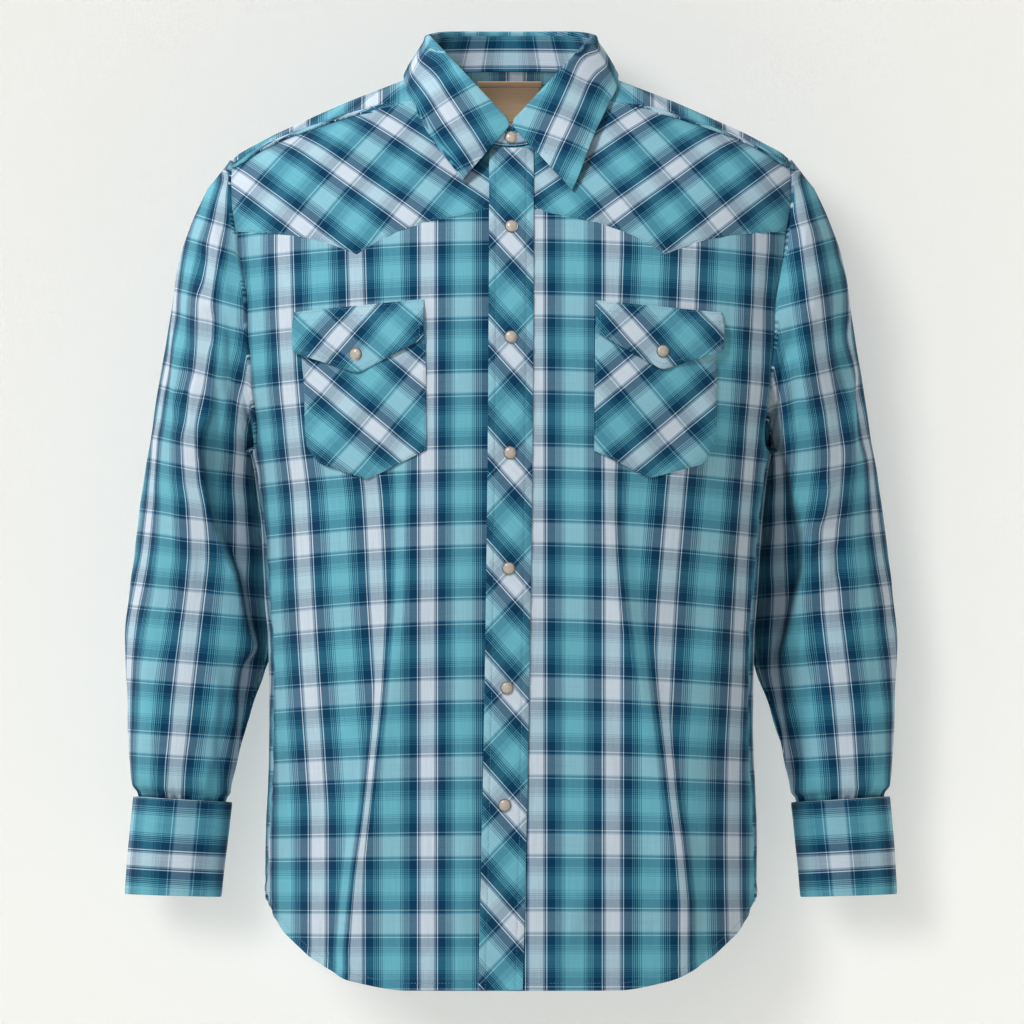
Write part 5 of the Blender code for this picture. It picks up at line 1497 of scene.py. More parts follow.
    def build(self) -> Cloth:
        """Make the sleeve.

        Returns:
            Its sheet, whose seam lies under the arm.
        """
        turns = np.linspace(180, 540, 108, endpoint=False)
        rings = runs((0, 1, LAST_RING), (8, 126))
        grid = self.outer(turns[None], rings[:, None])
        wrapped = self.rest(np.append(turns, 540)[None], rings[:, None])
        arc = self._cloth_round(wrapped, np.append(turns, 540)[None])
        uv = self.grain.lay(arc, self._cloth_run(wrapped))
        start = grid[:1] - (0.0046, 0, 0)
        start = start + unit(np.array(self.armhole_middle) - start) * 0.0016
        inwards = unit(np.mean(grid[-1:], axis=1, keepdims=True) - grid[-1:])
        end = grid[-1:] + inwards * 0.0022 - (0, 0, 0.007)
        grid = np.concatenate((start, grid, end))
        uv = np.concatenate((uv[:1] + (0, 0.005), uv, uv[-1:] - (0, 0.007)))
        grid = grid * (self.side.value, 1, 1)
        return Cloth(f"sleeve_{self.side.tag}", grid, uv, Vector((0.262 * self.side.value, 0.030, -0.35)),
                     self.wall, closed=True)

    def build_strip(self) -> Cloth:
        """Make the strip over the slit.

        Returns:
            Its sheet.
        """
        first, last = self.strip_turns
        turn, ring = np.meshgrid(runs((first, first + 2, last - 2, last), (2, 12, 2)),
                                 runs((LAST_RING - 4.2, LAST_RING - 0.35), (50,)))
        around = self.outer(turn + 2, ring) - self.outer(turn - 2, ring)
        down = self.outer(turn, ring + 0.1) - self.outer(turn, ring - 0.1)
        lift = 0.0021 - 0.0005 * rolled(np.minimum(turn - first, last - turn), 2.0)
        grid = self.outer(turn, ring) + unit(np.cross(down, around)) * lift[..., None]
        uv = Grain().lay(np.radians(turn) * 0.046, self._cloth_run(grid))
        grid = grid * (self.side.value, 1, 1)
        return Cloth(f"sleeve_placket_{self.side.tag}", grid, uv,
                     Vector((0.275 * self.side.value, 0.045, -0.53)), 0.0011, edge_round=0.0003)


CUFF_RINGS = table(
    (321.4, -592, 237.5, -597.2), (324, -620, 240, -624), (326.2, -648, 243, -651),
    (327.8, -675.5, 245.7, -678))


@dataclass
class Cuff:
    """Band round the wrist, whose ends lap at the back."""

    side: Side
    wall: float = 0.0014
    middle_y: float = 0.043
    depth: float = 0.0345
    lap_start: float = 52.0
    lap: float = 26.0
    step: float = 0.0013
    edge: SewnEdge = SewnEdge(0.5, 1.5, 0.3, 4.5, 1.1, 0.4, 3.0, 14.0, 8.0)
    grain: Grain = Grain(warp_at=-0.0046, weft_at=-0.6473, angle=90)

    def __post_init__(self) -> None:
        """Make the lines that the rings follow."""
        self.lines = curves([(n / 3, *row) for n, row in enumerate(CUFF_RINGS)])

    def outer(self, turn: Array, share: Array, out: Array) -> Array:
        """Left cuff's outer face, moved out; share is 0 at its top and 1 at its lower edge."""
        ring, angle = [line(share) for line in self.lines], np.radians(turn)
        away = unit(points(np.cos(angle) / (ring[0] - ring[2]) * 2, np.sin(angle) / self.depth, 0.0))
        return oval(turn, *ring, self.middle_y, self.depth) + away * np.asarray(out)[..., None]

    def build(self) -> Cloth:
        """Make the band.

        Returns:
            Its sheet.
        """
        t = runs((0, 0.01, 0.99, 1), (2, 110, 2))
        share = runs((0, 0.03, 0.97, 1), (3, 22, 3))
        turn = (self.lap_start + (360 + self.lap) * t)[None] + 0 * share[:, None]
        edge = np.minimum(share, 1 - share)[:, None] * 0.084
        out = (self.step * (2 * t - 1) + self.edge.relief(edge, np.radians(turn) * 0.042, 1.1)
               + 0.0006 * np.sin(3 * np.radians(turn) + 2.0 * share[:, None] + self.side.value))
        grid = self.outer(turn, share[:, None] + 0 * turn, out)
        arc = np.radians(turn - 270) * 0.0415
        uv = self.grain.lay(arc, grid[..., 2] - 0.055 * (grid[..., 0] - 0.2825))
        grid = grid * (self.side.value, 1, 1)
        return Cloth(f"cuff_{self.side.tag}", grid, uv,
                     Vector((0.282 * self.side.value, self.middle_y, -0.635)), self.wall, edge_round=0.0004)

    def snap_places(self) -> list[tuple[Array, Array]]:
        """Point and outward direction of each snap."""
        turn = np.array(self.lap_start + self.lap / 2)
        places = []
        for share in (1 / 3, 2 / 3):
            here = self.outer(turn, np.array(share), np.array(self.step)) * (self.side.value, 1, 1)
            away = self.outer(turn, np.array(share), np.array(0.01)) * (self.side.value, 1, 1)
            places.append((here, unit(away - here)))
        return places


# --- Collar ---

LEAF_EDGE = table(
    (0, 45.5, -103, -75), (20, 58, -93, -53), (40, 71.5, -76.5, -27.5), (60, 83.5, -56, -3),
    (75, 90, -39.5, 10.5), (90, 91.5, -6, 20.8), (110, 89, 24.5, 22), (135, 70, 55, 21), (160, 37, 75.5, 15),
    (180, 0, 83, 12), plain=1)
LEAF_ROLL = table((1, -5.2), (-0.4, -1.4), (1.2, 0), (3.4, -1.4), (5, -6.2))
NECK_MIDDLE = Vector((0.0, 0.0, 0.0))


@dataclass
class Collar:
    """Band round the neck and the pointed leaf that folds over it."""

    wall: float = 0.0014
    leaf_wall: float = 0.0011
    tip_shift_x: float = 0.0052
    tip_shift_z: float = 0.0042
    fold_half_width: float = 0.0695
    fold_front: float = 0.0740
    fold_back: float = 0.0600
    fold_front_z: float = -0.0200
    fold_side_z: float = 0.0552
    fold_back_z: float = 0.0588
    fold_level: float = 9.0
    stand_lap: float = 13.0
    stand_step: float = 0.0013
    below_fold: float = 0.0036
    above_seam: float = 0.0024
    end_drop: float = 0.006
    front_turn: float = 45.0
    bulge: float = 0.0008
    snap_z: float = -0.0328
    front_shift: float = -0.0088
    stand_edge: SewnEdge = SewnEdge(0.2, 1.0, 0.0, 0.0, 1.0, 0.2, 0.0, 13.0, 6.0)
    leaf_sewn: SewnEdge = SewnEdge(0.4, 2.0, 0.3, 6.0, 1.2, 0.3, 4.0, 14.0, 6.0)
    stand_grain: Grain = Grain(warp_at=0.0281, weft_at=0.0085, angle=90, warp_scale=0.875)
    leaf_grain: Grain = Grain(angle=90)
    pale_from_tip: tuple = (0.048, 0.061)
    pale_from_edge: tuple = (0.031, 0.022)

    def __post_init__(self) -> None:
        """Make the leaf's outer edge."""
        self.edge_lines = curves(LEAF_EDGE)

    def fold_line(self, turn: Array) -> Array:
        """Top line over which the leaf folds."""
        angle = np.radians(turn)
        ahead = np.cos(angle) > 0
        x = self.fold_half_width * power(np.sin(angle), 0.95)
        aside = np.abs(x) / self.fold_half_width
        front_z = self.fold_front_z + (self.fold_side_z - self.fold_front_z) * aside
        back_z = self.fold_side_z + (self.fold_back_z - self.fold_side_z) * (1 - aside ** self.fold_level)
        reach = np.where(ahead, self.fold_front, self.fold_back)
        return points(x, -reach * np.cos(angle), np.where(ahead, front_z, back_z))

    def stand(self, turn: Array, share: Array) -> Array:
        """Stand's outer face; share is 0 at the neckline and 1 at its top."""
        turn, share = np.broadcast_arrays(np.asarray(turn, float), np.asarray(share, float))
        low = FORM.neckline(turn) + (0, 0, self.above_seam)
        past = np.maximum(np.maximum(-turn, turn - 360), 0) / self.stand_lap
        high = self.fold_line(turn) - points(0, 0, self.below_fold + self.end_drop * past ** 2)
        near, far = (1 - from_front / self.front_turn for from_front in (turn, 360 - turn))
        step = np.where(turn < self.front_turn, self.stand_step * ease(near), -self.stand_step * ease(far))
        return (low * (1 - share[..., None]) + high * share[..., None]
                + FORM.neck_outward(turn) * step[..., None])

    def build_stand(self) -> Cloth:
        """Make the band.

        Returns:
            Its sheet.
        """
        lap = self.stand_lap
        turns = runs((-lap, -lap + 0.7, 0, 45, 315, 360, 360 + lap - 0.7, 360 + lap),
                     (2, 8, 26, 80, 26, 8, 2))
        share = runs((0, 0.06, 0.94, 1), (2, 14, 2))
        grid = self.stand(turns[None], share[:, None])
        edge = np.minimum(share, 1 - share)[:, None] * 0.035
        arc = np.radians(turns - 180)[None] * 0.0715 + 0 * share[:, None]
        grid = grid + FORM.neck_outward(turns) * self.stand_edge.relief(edge, arc, 0.4)[..., None]
        shifted = arc + np.sign(arc) * self.front_shift * ease((np.abs(arc) - 0.11) / 0.06)
        uv = self.stand_grain.lay(shifted, share[:, None] * 0.028 + 0 * arc)
        tuck = grid[:1] - FORM.neck_outward(turns)[None] * 0.0013 - (0, 0, 0.0030)
        grid, uv = np.concatenate((tuck, grid)), np.concatenate((uv[:1] - (0.0032, 0), uv))
        return Cloth("collar_stand", grid, uv, NECK_MIDDLE, self.wall, edge_round=0.0003)

    def leaf_edge(self, turn: Array) -> Array:
        """Outer edge of the leaf."""
        from_front = np.minimum(turn, 360 - turn)
        near_tip = ease(1 - from_front / self.front_turn)
        x, y, z = (line(from_front) for line in self.edge_lines)
        sign = np.where(turn > 180, -1.0, 1.0)
        return points(sign * x + self.tip_shift_x * near_tip, y, z - sign * self.tip_shift_z * near_tip)

    def leaf_line(self, turn: Array) -> Array:
        """Points of the leaf from the stand over the fold to the outer edge.

        Args:
            turn: turns round the neck.

        Returns:
            Rows from the inner edge to the outer one.
        """
        top, away = self.fold_line(turn), FORM.neck_outward(turn)
        lines = [top + away * out + (0, 0, up) for out, up in LEAF_ROLL]
        start, end = lines[-1], self.leaf_edge(turn)
        for share in (0.3, 0.65, 1.0):
            lines.append(start * (1 - share) + end * share + away * self.bulge * math.sin(math.pi * share))
        control = np.stack(lines)
        padded = np.concatenate((2 * control[:1] - control[1:2], control,
                                 2 * control[-1:] - control[-2:-1]))
        at = runs((0, 1, 2, 3, 4, len(control) - 1 - 0.12, len(control) - 1), (2, 3, 3, 3, 20, 3))
        i = np.minimum(at.astype(int), len(control) - 2)
        f = (at - i)[:, None, None]
        p0, p1, p2, p3 = (padded[i + k] for k in range(4))
        return 0.5 * (2 * p1 + (p2 - p0) * f + (2 * p0 - 5 * p1 + 4 * p2 - p3) * f ** 2
                      + (3 * p1 - p0 - 3 * p2 + p3) * f ** 3)

    def _leaf_cloth(self, grid: Array, turns: Array, from_edge: Array) -> Array:
        """Cloth coordinates of the leaf, straight to its edge near each point.

        Args:
            grid: its outer points.
            turns: turns round the neck of its columns.
            from_edge: distance of each point from the outer edge, along its column.

        Returns:
            Cloth coordinates.
        """
        edge = grid[-1]
        arc = running(steps(edge))
        along, away = arc + 0 * from_edge, from_edge
        from_front = np.minimum(turns, 360 - turns)
        for first, near in ((0, turns < 180), (-1, turns > 180)):
            far = edge[np.argmin(np.abs(from_front - 60) + 999 * ~near)]
            line = unit(far - edge[first])
            run = (grid - edge[first]) @ line
            off = np.linalg.norm(grid - edge[first] - run[..., None] * line, axis=-1)
            share = ease((80 - from_front) / 35) * near
            along = along * (1 - share) + (run if first == 0 else arc[-1] - run) * share
            away = away * (1 - share) + off * share
        repeat = 2 * Sett().half(False) * MM
        span = arc[-1] - sum(self.pale_from_tip)
        along = (along - self.pale_from_tip[0]) * round(span / repeat) * repeat / span
        across = ease((turns - 90) / 180)
        away = away - self.pale_from_edge[0] * (1 - across) - self.pale_from_edge[1] * across
        return self.leaf_grain.lay(along, away)

    def build_leaf(self) -> Cloth:
        """Make the leaf.

        Returns:
            Its sheet.
        """
        turns = runs((1.5, 3.0, 45, 315, 357, 358.5), (2, 26, 90, 26, 2))
        grid = self.leaf_line(turns)
        from_edge = running(steps(grid)[::-1], 0)[::-1]
        arc = running(steps(grid[-1]))
        arc = arc - arc[-1] / 2 + 0 * from_edge
        uv = self._leaf_cloth(grid, turns, from_edge)
        cloth = Cloth("collar_leaf", grid, uv, NECK_MIDDLE, self.leaf_wall, edge_round=0.0003)
        near = np.minimum(from_edge, arc.max() - np.abs(arc) + 0.002)
        relief = 0.0004 + self.leaf_sewn.relief(near, arc, 1.9)
        cloth.grid = grid + cloth.corner_normals() * relief[..., None]
        return cloth

    def snap_place(self) -> tuple[Array, Array]:
        """Point and outward direction of the stand's snap."""
        low, high = self.stand(np.array(0.0), np.array(0.0)), self.stand(np.array(0.0), np.array(1.0))
        share = (self.snap_z - low[2]) / (high[2] - low[2])
        return low * (1 - share) + high * share, unit(np.cross((1.0, 0.0, 0.0), high - low))


class Tab(NamedTuple):
    """Woven tab inside the back neck."""

    name: str
    left: float
    right: float
    top: float
    bottom: float


TABS = (Tab("neck_label", -0.0290, 0.0262, 0.0188, -0.0215),
        Tab("care_label", 0.0415, 0.0560, 0.0228, -0.0060))


@dataclass
class NeckTabs:
    """Bare tabs inside the back yoke."""

    depth: float = 0.0028
    wall: float = 0.0007

    def build(self, tab: Tab) -> Cloth:
        """Make one tab.

        Args:
            tab: its place and size.

        Returns:
            Its sheet, whose cloth coordinates start at its middle.
        """
        z = np.linspace(tab.bottom, tab.top, 20)
        x = np.linspace(tab.left, tab.right, 24)
        xx, zz = np.meshgrid(x, z)
        drop = FORM.shoulder_drop(xx, zz, 1)
        across = FORM.shoulder(xx + 0.002, drop) - FORM.shoulder(xx - 0.002, drop)
        down = FORM.shoulder(xx, drop + 0.01) - FORM.shoulder(xx, drop - 0.01)
        wave = 0.0003 * np.sin(xx * 140) * ease((tab.top - zz) / 0.01)
        grid = FORM.shoulder(xx, drop) - unit(np.cross(across, down)) * (self.depth + wave)[..., None]
        up = arc_up(grid)
        uv = np.stack((xx - (tab.left + tab.right) / 2, up - (up[:1] + up[-1:]) / 2), axis=-1)
        return Cloth(tab.name, grid, uv, Vector((0.0, -0.10, -0.10)), self.wall, edge_round=0.0002)


# --- Snaps ---


@dataclass
class PearlSnap:
    """Pearl cap held in a thin metal ring, modelled once and copied."""

    radius: float = 5.5 * MM
    height: float = 3.1 * MM
    rim_width: float = 0.75 * MM
    embed: float = 0.2 * MM
    edge_round: float = 0.22 * MM
    sharp: float = math.radians(40)

    def model_ring(self) -> Object:
        """Model the metal ring and its flat back.

        Returns:
            The ring at the origin, facing +Z.
        """
        bpy.ops.object.select_all(action="DESELECT")
        bpy.ops.mesh.primitive_cylinder_add(vertices=40, radius=self.radius, depth=0.42 * self.height,
                                            location=(0, 0, 0.21 * self.height))
        ring = bpy.context.object
        bpy.ops.object.transform_apply(location=True, rotation=True, scale=True)
        bpy.ops.object.mode_set(mode="EDIT")
        bpy.ops.mesh.select_mode(type="FACE")
        bpy.ops.mesh.select_all(action="DESELECT")
        bpy.ops.object.mode_set(mode="OBJECT")
        for face in ring.data.polygons:
            face.select = face.normal.z > 0.9
        bpy.ops.object.mode_set(mode="EDIT")
        bpy.ops.mesh.inset(thickness=self.rim_width, depth=0.0)
        bpy.ops.transform.translate(value=(0, 0, -0.12 * self.height))
        bpy.ops.object.mode_set(mode="OBJECT")
        round_edges(ring, "soft", self.edge_round, 3, self.sharp)
        bpy.ops.object.modifier_apply(modifier="soft")
        bpy.ops.object.shade_smooth_by_angle(angle=self.sharp)
        return ring

    def model_cap(self) -> Object:
        """Model the domed cap.

        Returns:
            The cap at the origin, facing +Z.
        """
        bpy.ops.object.select_all(action="DESELECT")
        bpy.ops.mesh.primitive_uv_sphere_add(segments=36, ring_count=18, radius=1.0)
        cap = bpy.context.object
        bpy.ops.object.mode_set(mode="EDIT")
        bpy.ops.mesh.select_all(action="SELECT")
        bpy.ops.mesh.bisect(plane_co=(0, 0, 0), plane_no=(0, 0, -1), clear_outer=True, use_fill=True)
        bpy.ops.mesh.select_all(action="SELECT")
        inner = self.radius - self.rim_width * 0.9
        bpy.ops.transform.resize(value=(inner, inner, 0.68 * self.height), center_override=(0, 0, 0))
        bpy.ops.transform.translate(value=(0, 0, 0.30 * self.height))
        bpy.ops.object.mode_set(mode="OBJECT")
        bpy.ops.object.shade_smooth_by_angle(angle=math.radians(60))
        return cap

    def place(self, source: Object, name: str, base: Array, normal: Array) -> Object:
        """Copy a modelled part to its place, with the place in its mesh.

        Args:
            source: the modelled part.
            name: the copy's name.
            base: point on the cloth.
            normal: outward direction.

        Returns:
            The copy.
        """
        mesh = source.data.copy()
        mesh.name = name
        turn = Vector(normal).to_track_quat("Z", "Y").to_matrix().to_4x4()
        at = Vector(base) - Vector(normal) * self.embed
        mesh.transform(Matrix.Translation(at) @ turn)
        return add_object(name, mesh)


# --- Finishes ---


FADED = (0.60, 0.70, 0.74)  # what worn places pale towards
STREAKS_ACROSS, STREAKS_ALONG = 950.0, 28.0  # how fine a thread's unevenness is, per metre


@dataclass(frozen=True)
class Sett:
    """Order of the plaid's dyed threads, from the middle of a pale band to the middle of a teal one."""

    pale: Shade = (0.795, 0.843, 0.890)
    haze: Shade = (0.485, 0.560, 0.660)
    white: Shade = (0.880, 0.906, 0.928)
    navy: Shade = (0.030, 0.222, 0.342)
    dusk: Shade = (0.155, 0.390, 0.485)
    sea: Shade = (0.340, 0.600, 0.680)
    teal: Shade = (0.410, 0.700, 0.770)
    thread: float = 0.85
    blur: float = 0.22
    order: str = "pale haze navy white navy sea navy sea navy sea navy teal dusk teal dusk teal"
    warp_ends: tuple = (6.4, 8.3, 9.5, 10.4, 18.2, 19.0, 20.1, 20.9, 22.0, 22.8, 23.8, 24.7, 25.5, 26.5, 27.2,
                        36.0)
    weft_ends: tuple = (9.3, 10.6, 12.6, 13.6, 22.3, 23.1, 24.1, 24.9, 25.9, 26.7, 27.6, 28.5, 29.3, 30.3,
                        31.0, 37.75)

    def ends(self, warp: bool) -> tuple[float, ...]:
        """Where each band ends, in counts of threads."""
        return self.warp_ends if warp else self.weft_ends

    def half(self, warp: bool) -> float:
        """Half a repeat in millimetres."""
        return self.ends(warp)[-1] * self.thread

    def stops(self, warp: bool) -> list[Stop]:
        """Stops of a colour ramp, in millimetres.

        Args:
            warp: whether the warp's order is wanted.

        Returns:
            Two stops for each band.
        """
        stops, start = [], 0.0
        for end, name in zip(self.ends(warp), self.order.split()):
            first = (start + self.blur) * self.thread if start else 0.0
            stops += [(place, getattr(self, name)) for place in (first, (end - self.blur) * self.thread)]
            start = end
        return stops


class NodeMaker:
    """Adds and links shader nodes in one tree."""

    def __init__(self, tree: NodeTree) -> None:
        """Keep the tree."""
        self.tree = tree

    def feed(self, node: Node, inputs: Mapping[str | int, object]) -> None:
        """Set or link inputs of a node.

        Args:
            node: the node.
            inputs: for each input's name or number a socket, a number, or a colour as a tuple.
        """
        for key, value in inputs.items():
            if isinstance(value, NodeSocket):
                self.tree.links.new(value, node.inputs[key])
            else:
                node.inputs[key].default_value = (*value, 1.0) if isinstance(value, tuple) else value

    def add(self, kind: str, inputs: Mapping[str | int, object] | None = None, **settings: object) -> Node:
        """Add a node.

        Args:
            kind: Blender's name of it.
            inputs: what it is fed.
            settings: its other properties.

        Returns:
            The node.
        """
        node = self.tree.nodes.new("ShaderNode" + kind)
        for key, value in settings.items():
            setattr(node, key, value)
        self.feed(node, inputs or {})
        return node

    def math(self, operation: str, *values: object) -> NodeSocket:
        """Add a Math node, whose inputs are sockets or numbers."""
        return self.add("Math", dict(enumerate(values)), operation=operation).outputs[0]

    def scaled(self, value: NodeSocket, scale: float, offset: float) -> NodeSocket:
        """Multiply a value and add an offset."""
        return self.math("ADD", self.math("MULTIPLY", value, scale), offset)

    def ramp(self, factor: NodeSocket, stops: Sequence[Stop], span: float = 1.0) -> NodeSocket:
        """Add a colour ramp.

        Args:
            factor: what it reads, from 0 to 1.
            stops: place and colour of each stop.
            span: place that stands for 1.

        Returns:
            Its colour.
        """
        node = self.add("ValToRGB", {"Fac": factor})
        elements = node.color_ramp.elements
        while len(elements) < len(stops):
            elements.new(0.5)
        for element, (place, _) in zip(elements, stops):
            element.position = place / span
        for element, (_, colour) in zip(elements, stops):
            element.color = (*colour, 1.0)
        return node.outputs["Color"]

    def mix(self, factor: object, a: object, b: object) -> NodeSocket:
        """Mix two colours, each a socket or a tuple."""
        return self.add("Mix", {0: factor, 6: a, 7: b}, data_type="RGBA").outputs[2]

    def toned(self, colour: NodeSocket, tone: NodeSocket) -> NodeSocket:
        """Scale a colour."""
        return self.add("VectorMath", {0: colour, "Scale": tone}, operation="SCALE").outputs[0]

    def noise(self, vector: NodeSocket, scale: float, detail: float = 2.0) -> NodeSocket:
        """Add a noise texture and return its factor."""
        return self.add("TexNoise", {"Scale": scale, "Detail": detail, "Vector": vector}).outputs["Fac"]


def new_group(name: str, inputs: Mapping[str, float | None], outputs: Mapping[str, str]) -> tuple[
        NodeTree, NodeMaker, Node, Node]:
    """Start a shader node group.

    Args:
        name: the group's name.
        inputs: default of each number that it takes, and None for a vector.
        outputs: socket type of each output.

    Returns:
        The group, its node maker, its input node and its output node.
    """
    group = bpy.data.node_groups.new(name, "ShaderNodeTree")
    for label, default in inputs.items():
        kind = "NodeSocketVector" if default is None else "NodeSocketFloat"
        socket = group.interface.new_socket(name=label, in_out="INPUT", socket_type=kind)
        if default is not None:
            socket.default_value = default
    for label, kind in outputs.items():
        group.interface.new_socket(name=label, in_out="OUTPUT", socket_type="NodeSocket" + kind)
    return group, NodeMaker(group), group.nodes.new("NodeGroupInput"), group.nodes.new("NodeGroupOutput")


def weave_group() -> NodeTree:
    """Plain weave: which thread is on top, how high it stands, and its unevenness.

    Returns:
        The group. Its Over is high where the warp is on top and low where the weft is.
    """
    group, m, given, out = new_group(
        "plain_weave", {"Cloth": None, "Thread": 0.0005, "Slub": 0.5},
        {"Over": "Float", "Height": "Float", "Warp Tone": "Float", "Weft Tone": "Float"})
    u, v = m.add("SeparateXYZ", {0: given.outputs["Cloth"]}).outputs[:2]
    turn_u, turn_v = (m.math("MULTIPLY", m.math("DIVIDE", at, given.outputs["Thread"]), math.pi)
                      for at in (u, v))
    sin_u, sin_v = m.math("SINE", turn_u), m.math("SINE", turn_v)
    checker = m.math("MULTIPLY", sin_u, sin_v)
    m.feed(out, {"Over": m.scaled(checker, 0.30, 0.69), "Height": m.math("ABSOLUTE", checker)})
    for label, across, along in (("Warp Tone", u, v), ("Weft Tone", v, u)):
        streak = m.add("CombineXYZ")
        m.feed(streak, {0: m.math("MULTIPLY", across, STREAKS_ACROSS)})
        m.feed(streak, {1: m.math("MULTIPLY", along, STREAKS_ALONG)})
        centred = m.math("SUBTRACT", m.noise(streak.outputs[0], 1.0), 0.5)
        m.feed(out, {label: m.scaled(centred, given.outputs["Slub"], 1.0)})
    return group


def plaid_group(sett: Sett, weave: NodeTree) -> NodeTree:
    """Plaid of dyed warp and weft.

    Args:
        sett: the threads' colours and order.
        weave: the plain weave group.

    Returns:
        The group.
    """
    group, m, given, out = new_group("shirt_plaid", {"Cloth": None, "Fade": 0.0},
                                     {"Color": "Color", "Height": "Float"})
    cloth = given.outputs["Cloth"]
    place = m.add("SeparateXYZ", {0: cloth})
    threads = m.add("Group", node_tree=weave)
    m.feed(threads, {"Cloth": cloth, "Thread": 0.48 * MM, "Slub": 0.22})
    colours = []
    for axis, warp, tone in ((0, True, "Warp Tone"), (1, False, "Weft Tone")):
        half = sett.half(warp) * MM
        share = m.math("DIVIDE", m.math("PINGPONG", place.outputs[axis], half), half)
        colours.append(m.toned(m.ramp(share, sett.stops(warp), half / MM), threads.outputs[tone]))
    mixed = m.mix(threads.outputs["Over"], colours[1], colours[0])
    worn = m.noise(cloth, 26.0, 3.0)
    fade = m.math("MULTIPLY", m.math("SUBTRACT", worn, 0.5), given.outputs["Fade"])
    faded = m.mix(m.math("ADD", fade, 0.02), mixed, FADED)
    gamma = m.add("Gamma", {"Gamma": 2.2, "Color": faded})
    m.feed(out, {"Color": gamma.outputs[0], "Height": threads.outputs["Height"]})
    return group


def start_material(name: str) -> tuple[Material, NodeMaker, Node]:
    """Make a material with its Principled shader.

    Args:
        name: the finish's name.

    Returns:
        The material, its node maker and its shader.
    """
    material = bpy.data.materials.new(name)
    material.use_nodes = True
    return material, NodeMaker(material.node_tree), material.node_tree.nodes["Principled BSDF"]


@dataclass(frozen=True)
class PlaidFinish:
    """Plain-woven cotton in the shirt's plaid."""

    plaid: NodeTree
    name: str = "plaid_cotton"
    roughness: float = 0.86
    sheen: float = 0.05
    bump: float = 0.35
    fade: float = 0.16
    slubs: float = 420.0

    def material(self) -> Material:
        """Make the material, which reads the cloth coordinates.

        Returns:
            The material.
        """
        material, m, shader = start_material(self.name)
        cloth = m.add("UVMap", uv_map=UV_NAME)
        plaid = m.add("Group", node_tree=self.plaid)
        m.feed(plaid, {"Fade": self.fade, "Cloth": cloth.outputs[0]})
        slub = m.toned(cloth.outputs[0], self.slubs)
        uneven = m.noise(slub, 1.0)
        bump = m.add("Bump", {"Strength": self.bump, "Distance": 0.22 * MM})
        m.feed(bump, {"Height": m.math("ADD", plaid.outputs["Height"], m.math("MULTIPLY", uneven, 0.8))})
        m.feed(shader, {"Base Color": plaid.outputs["Color"], "Normal": bump.outputs[0],
                        "Roughness": self.roughness, "Sheen Weight": self.sheen, "Sheen Roughness": 0.5,
                        "Specular IOR Level": 0.12})
        return material


@dataclass(frozen=True)
class TabFinish:
    """Woven tape with an optional darker border."""

    weave: NodeTree
    name: str
    colour: tuple
    border: tuple
    half_width: float
    half_height: float
    border_at: float = 1.4 * MM
    border_width: float = 0.7 * MM

    def material(self) -> Material:
        """Make the material.

        Returns:
            The material.
        """
        material, m, shader = start_material(self.name)
        cloth = m.add("UVMap", uv_map=UV_NAME)
        u, v = m.add("SeparateXYZ", {0: cloth.outputs[0]}).outputs[:2]
        du = m.math("ABSOLUTE", u)
        du = m.math("SUBTRACT", self.half_width, du)
        dv = m.math("ABSOLUTE", v)
        dv = m.math("SUBTRACT", self.half_height, dv)
        line = m.math("COMPARE", m.math("MINIMUM", du, dv), self.border_at, self.border_width / 2)
        weave = m.add("Group", node_tree=self.weave)
        m.feed(weave, {"Thread": 0.35 * MM, "Slub": 0.35, "Cloth": cloth.outputs[0]})
        toned = m.add("VectorMath", operation="SCALE")
        m.feed(toned, {0: m.mix(line, self.colour, self.border), "Scale": weave.outputs["Weft Tone"]})
        bump = m.add("Bump", {"Strength": 0.4, "Distance": 0.15 * MM, "Height": weave.outputs["Height"]})
        m.feed(shader, {"Base Color": toned.outputs[0], "Normal": bump.outputs[0], "Roughness": 0.8})
        return material


@dataclass(frozen=True)
class PearlFinish:
    """Pearly plastic with a soft swirl."""

    name: str = "pearl_cap"
    shades: tuple = ((0.30, (0.405, 0.352, 0.300)), (0.52, (0.465, 0.415, 0.360)),
                     (0.70, (0.540, 0.495, 0.440)))
    swirls: float = 420.0

    def material(self) -> Material:
        """Make the material.

        Returns:
            The material.
        """
        material, m, shader = start_material(self.name)
        swirl = m.noise(m.add("TexCoord").outputs["Object"], self.swirls, 3.0)
        m.feed(shader, {"Base Color": m.ramp(swirl, self.shades), "Roughness": m.scaled(swirl, 0.14, 0.30),
                        "Coat Weight": 0.45, "Coat Roughness": 0.22})
        return material


@dataclass(frozen=True)
class RimFinish:
    """Nickel ring round a snap."""

    name: str = "snap_rim"
    shades: tuple = ((0.35, (0.17, 0.15, 0.13)), (0.65, (0.30, 0.27, 0.24)))
    rubs: float = 900.0

    def material(self) -> Material:
        """Make the material.

        Returns:
            The material.
        """
        material, m, shader = start_material(self.name)
        rubbed = m.noise(m.add("TexCoord").outputs["Object"], self.rubs)
        m.feed(shader, {"Base Color": m.ramp(rubbed, self.shades), "Roughness": m.scaled(rubbed, 0.2, 0.36),
                        "Metallic": 1.0})
        return material


@dataclass(frozen=True)
class ThreadFinish:
    """Twisted sewing thread."""

    name: str = "sewing_thread"
    colour: tuple = (0.060, 0.190, 0.270)
    light: tuple = (0.110, 0.300, 0.380)
    plies: float = 1500.0

    def material(self) -> Material:
        """Make the material.

        Returns:
            The material.
        """
        material, m, shader = start_material(self.name)
        ply = m.noise(m.add("TexCoord").outputs["Object"], self.plies, 1.0)
        m.feed(shader, {"Base Color": m.mix(ply, self.colour, self.light), "Roughness": 0.6,
                        "Sheen Weight": 0.2})
        return material


# --- Studio ---


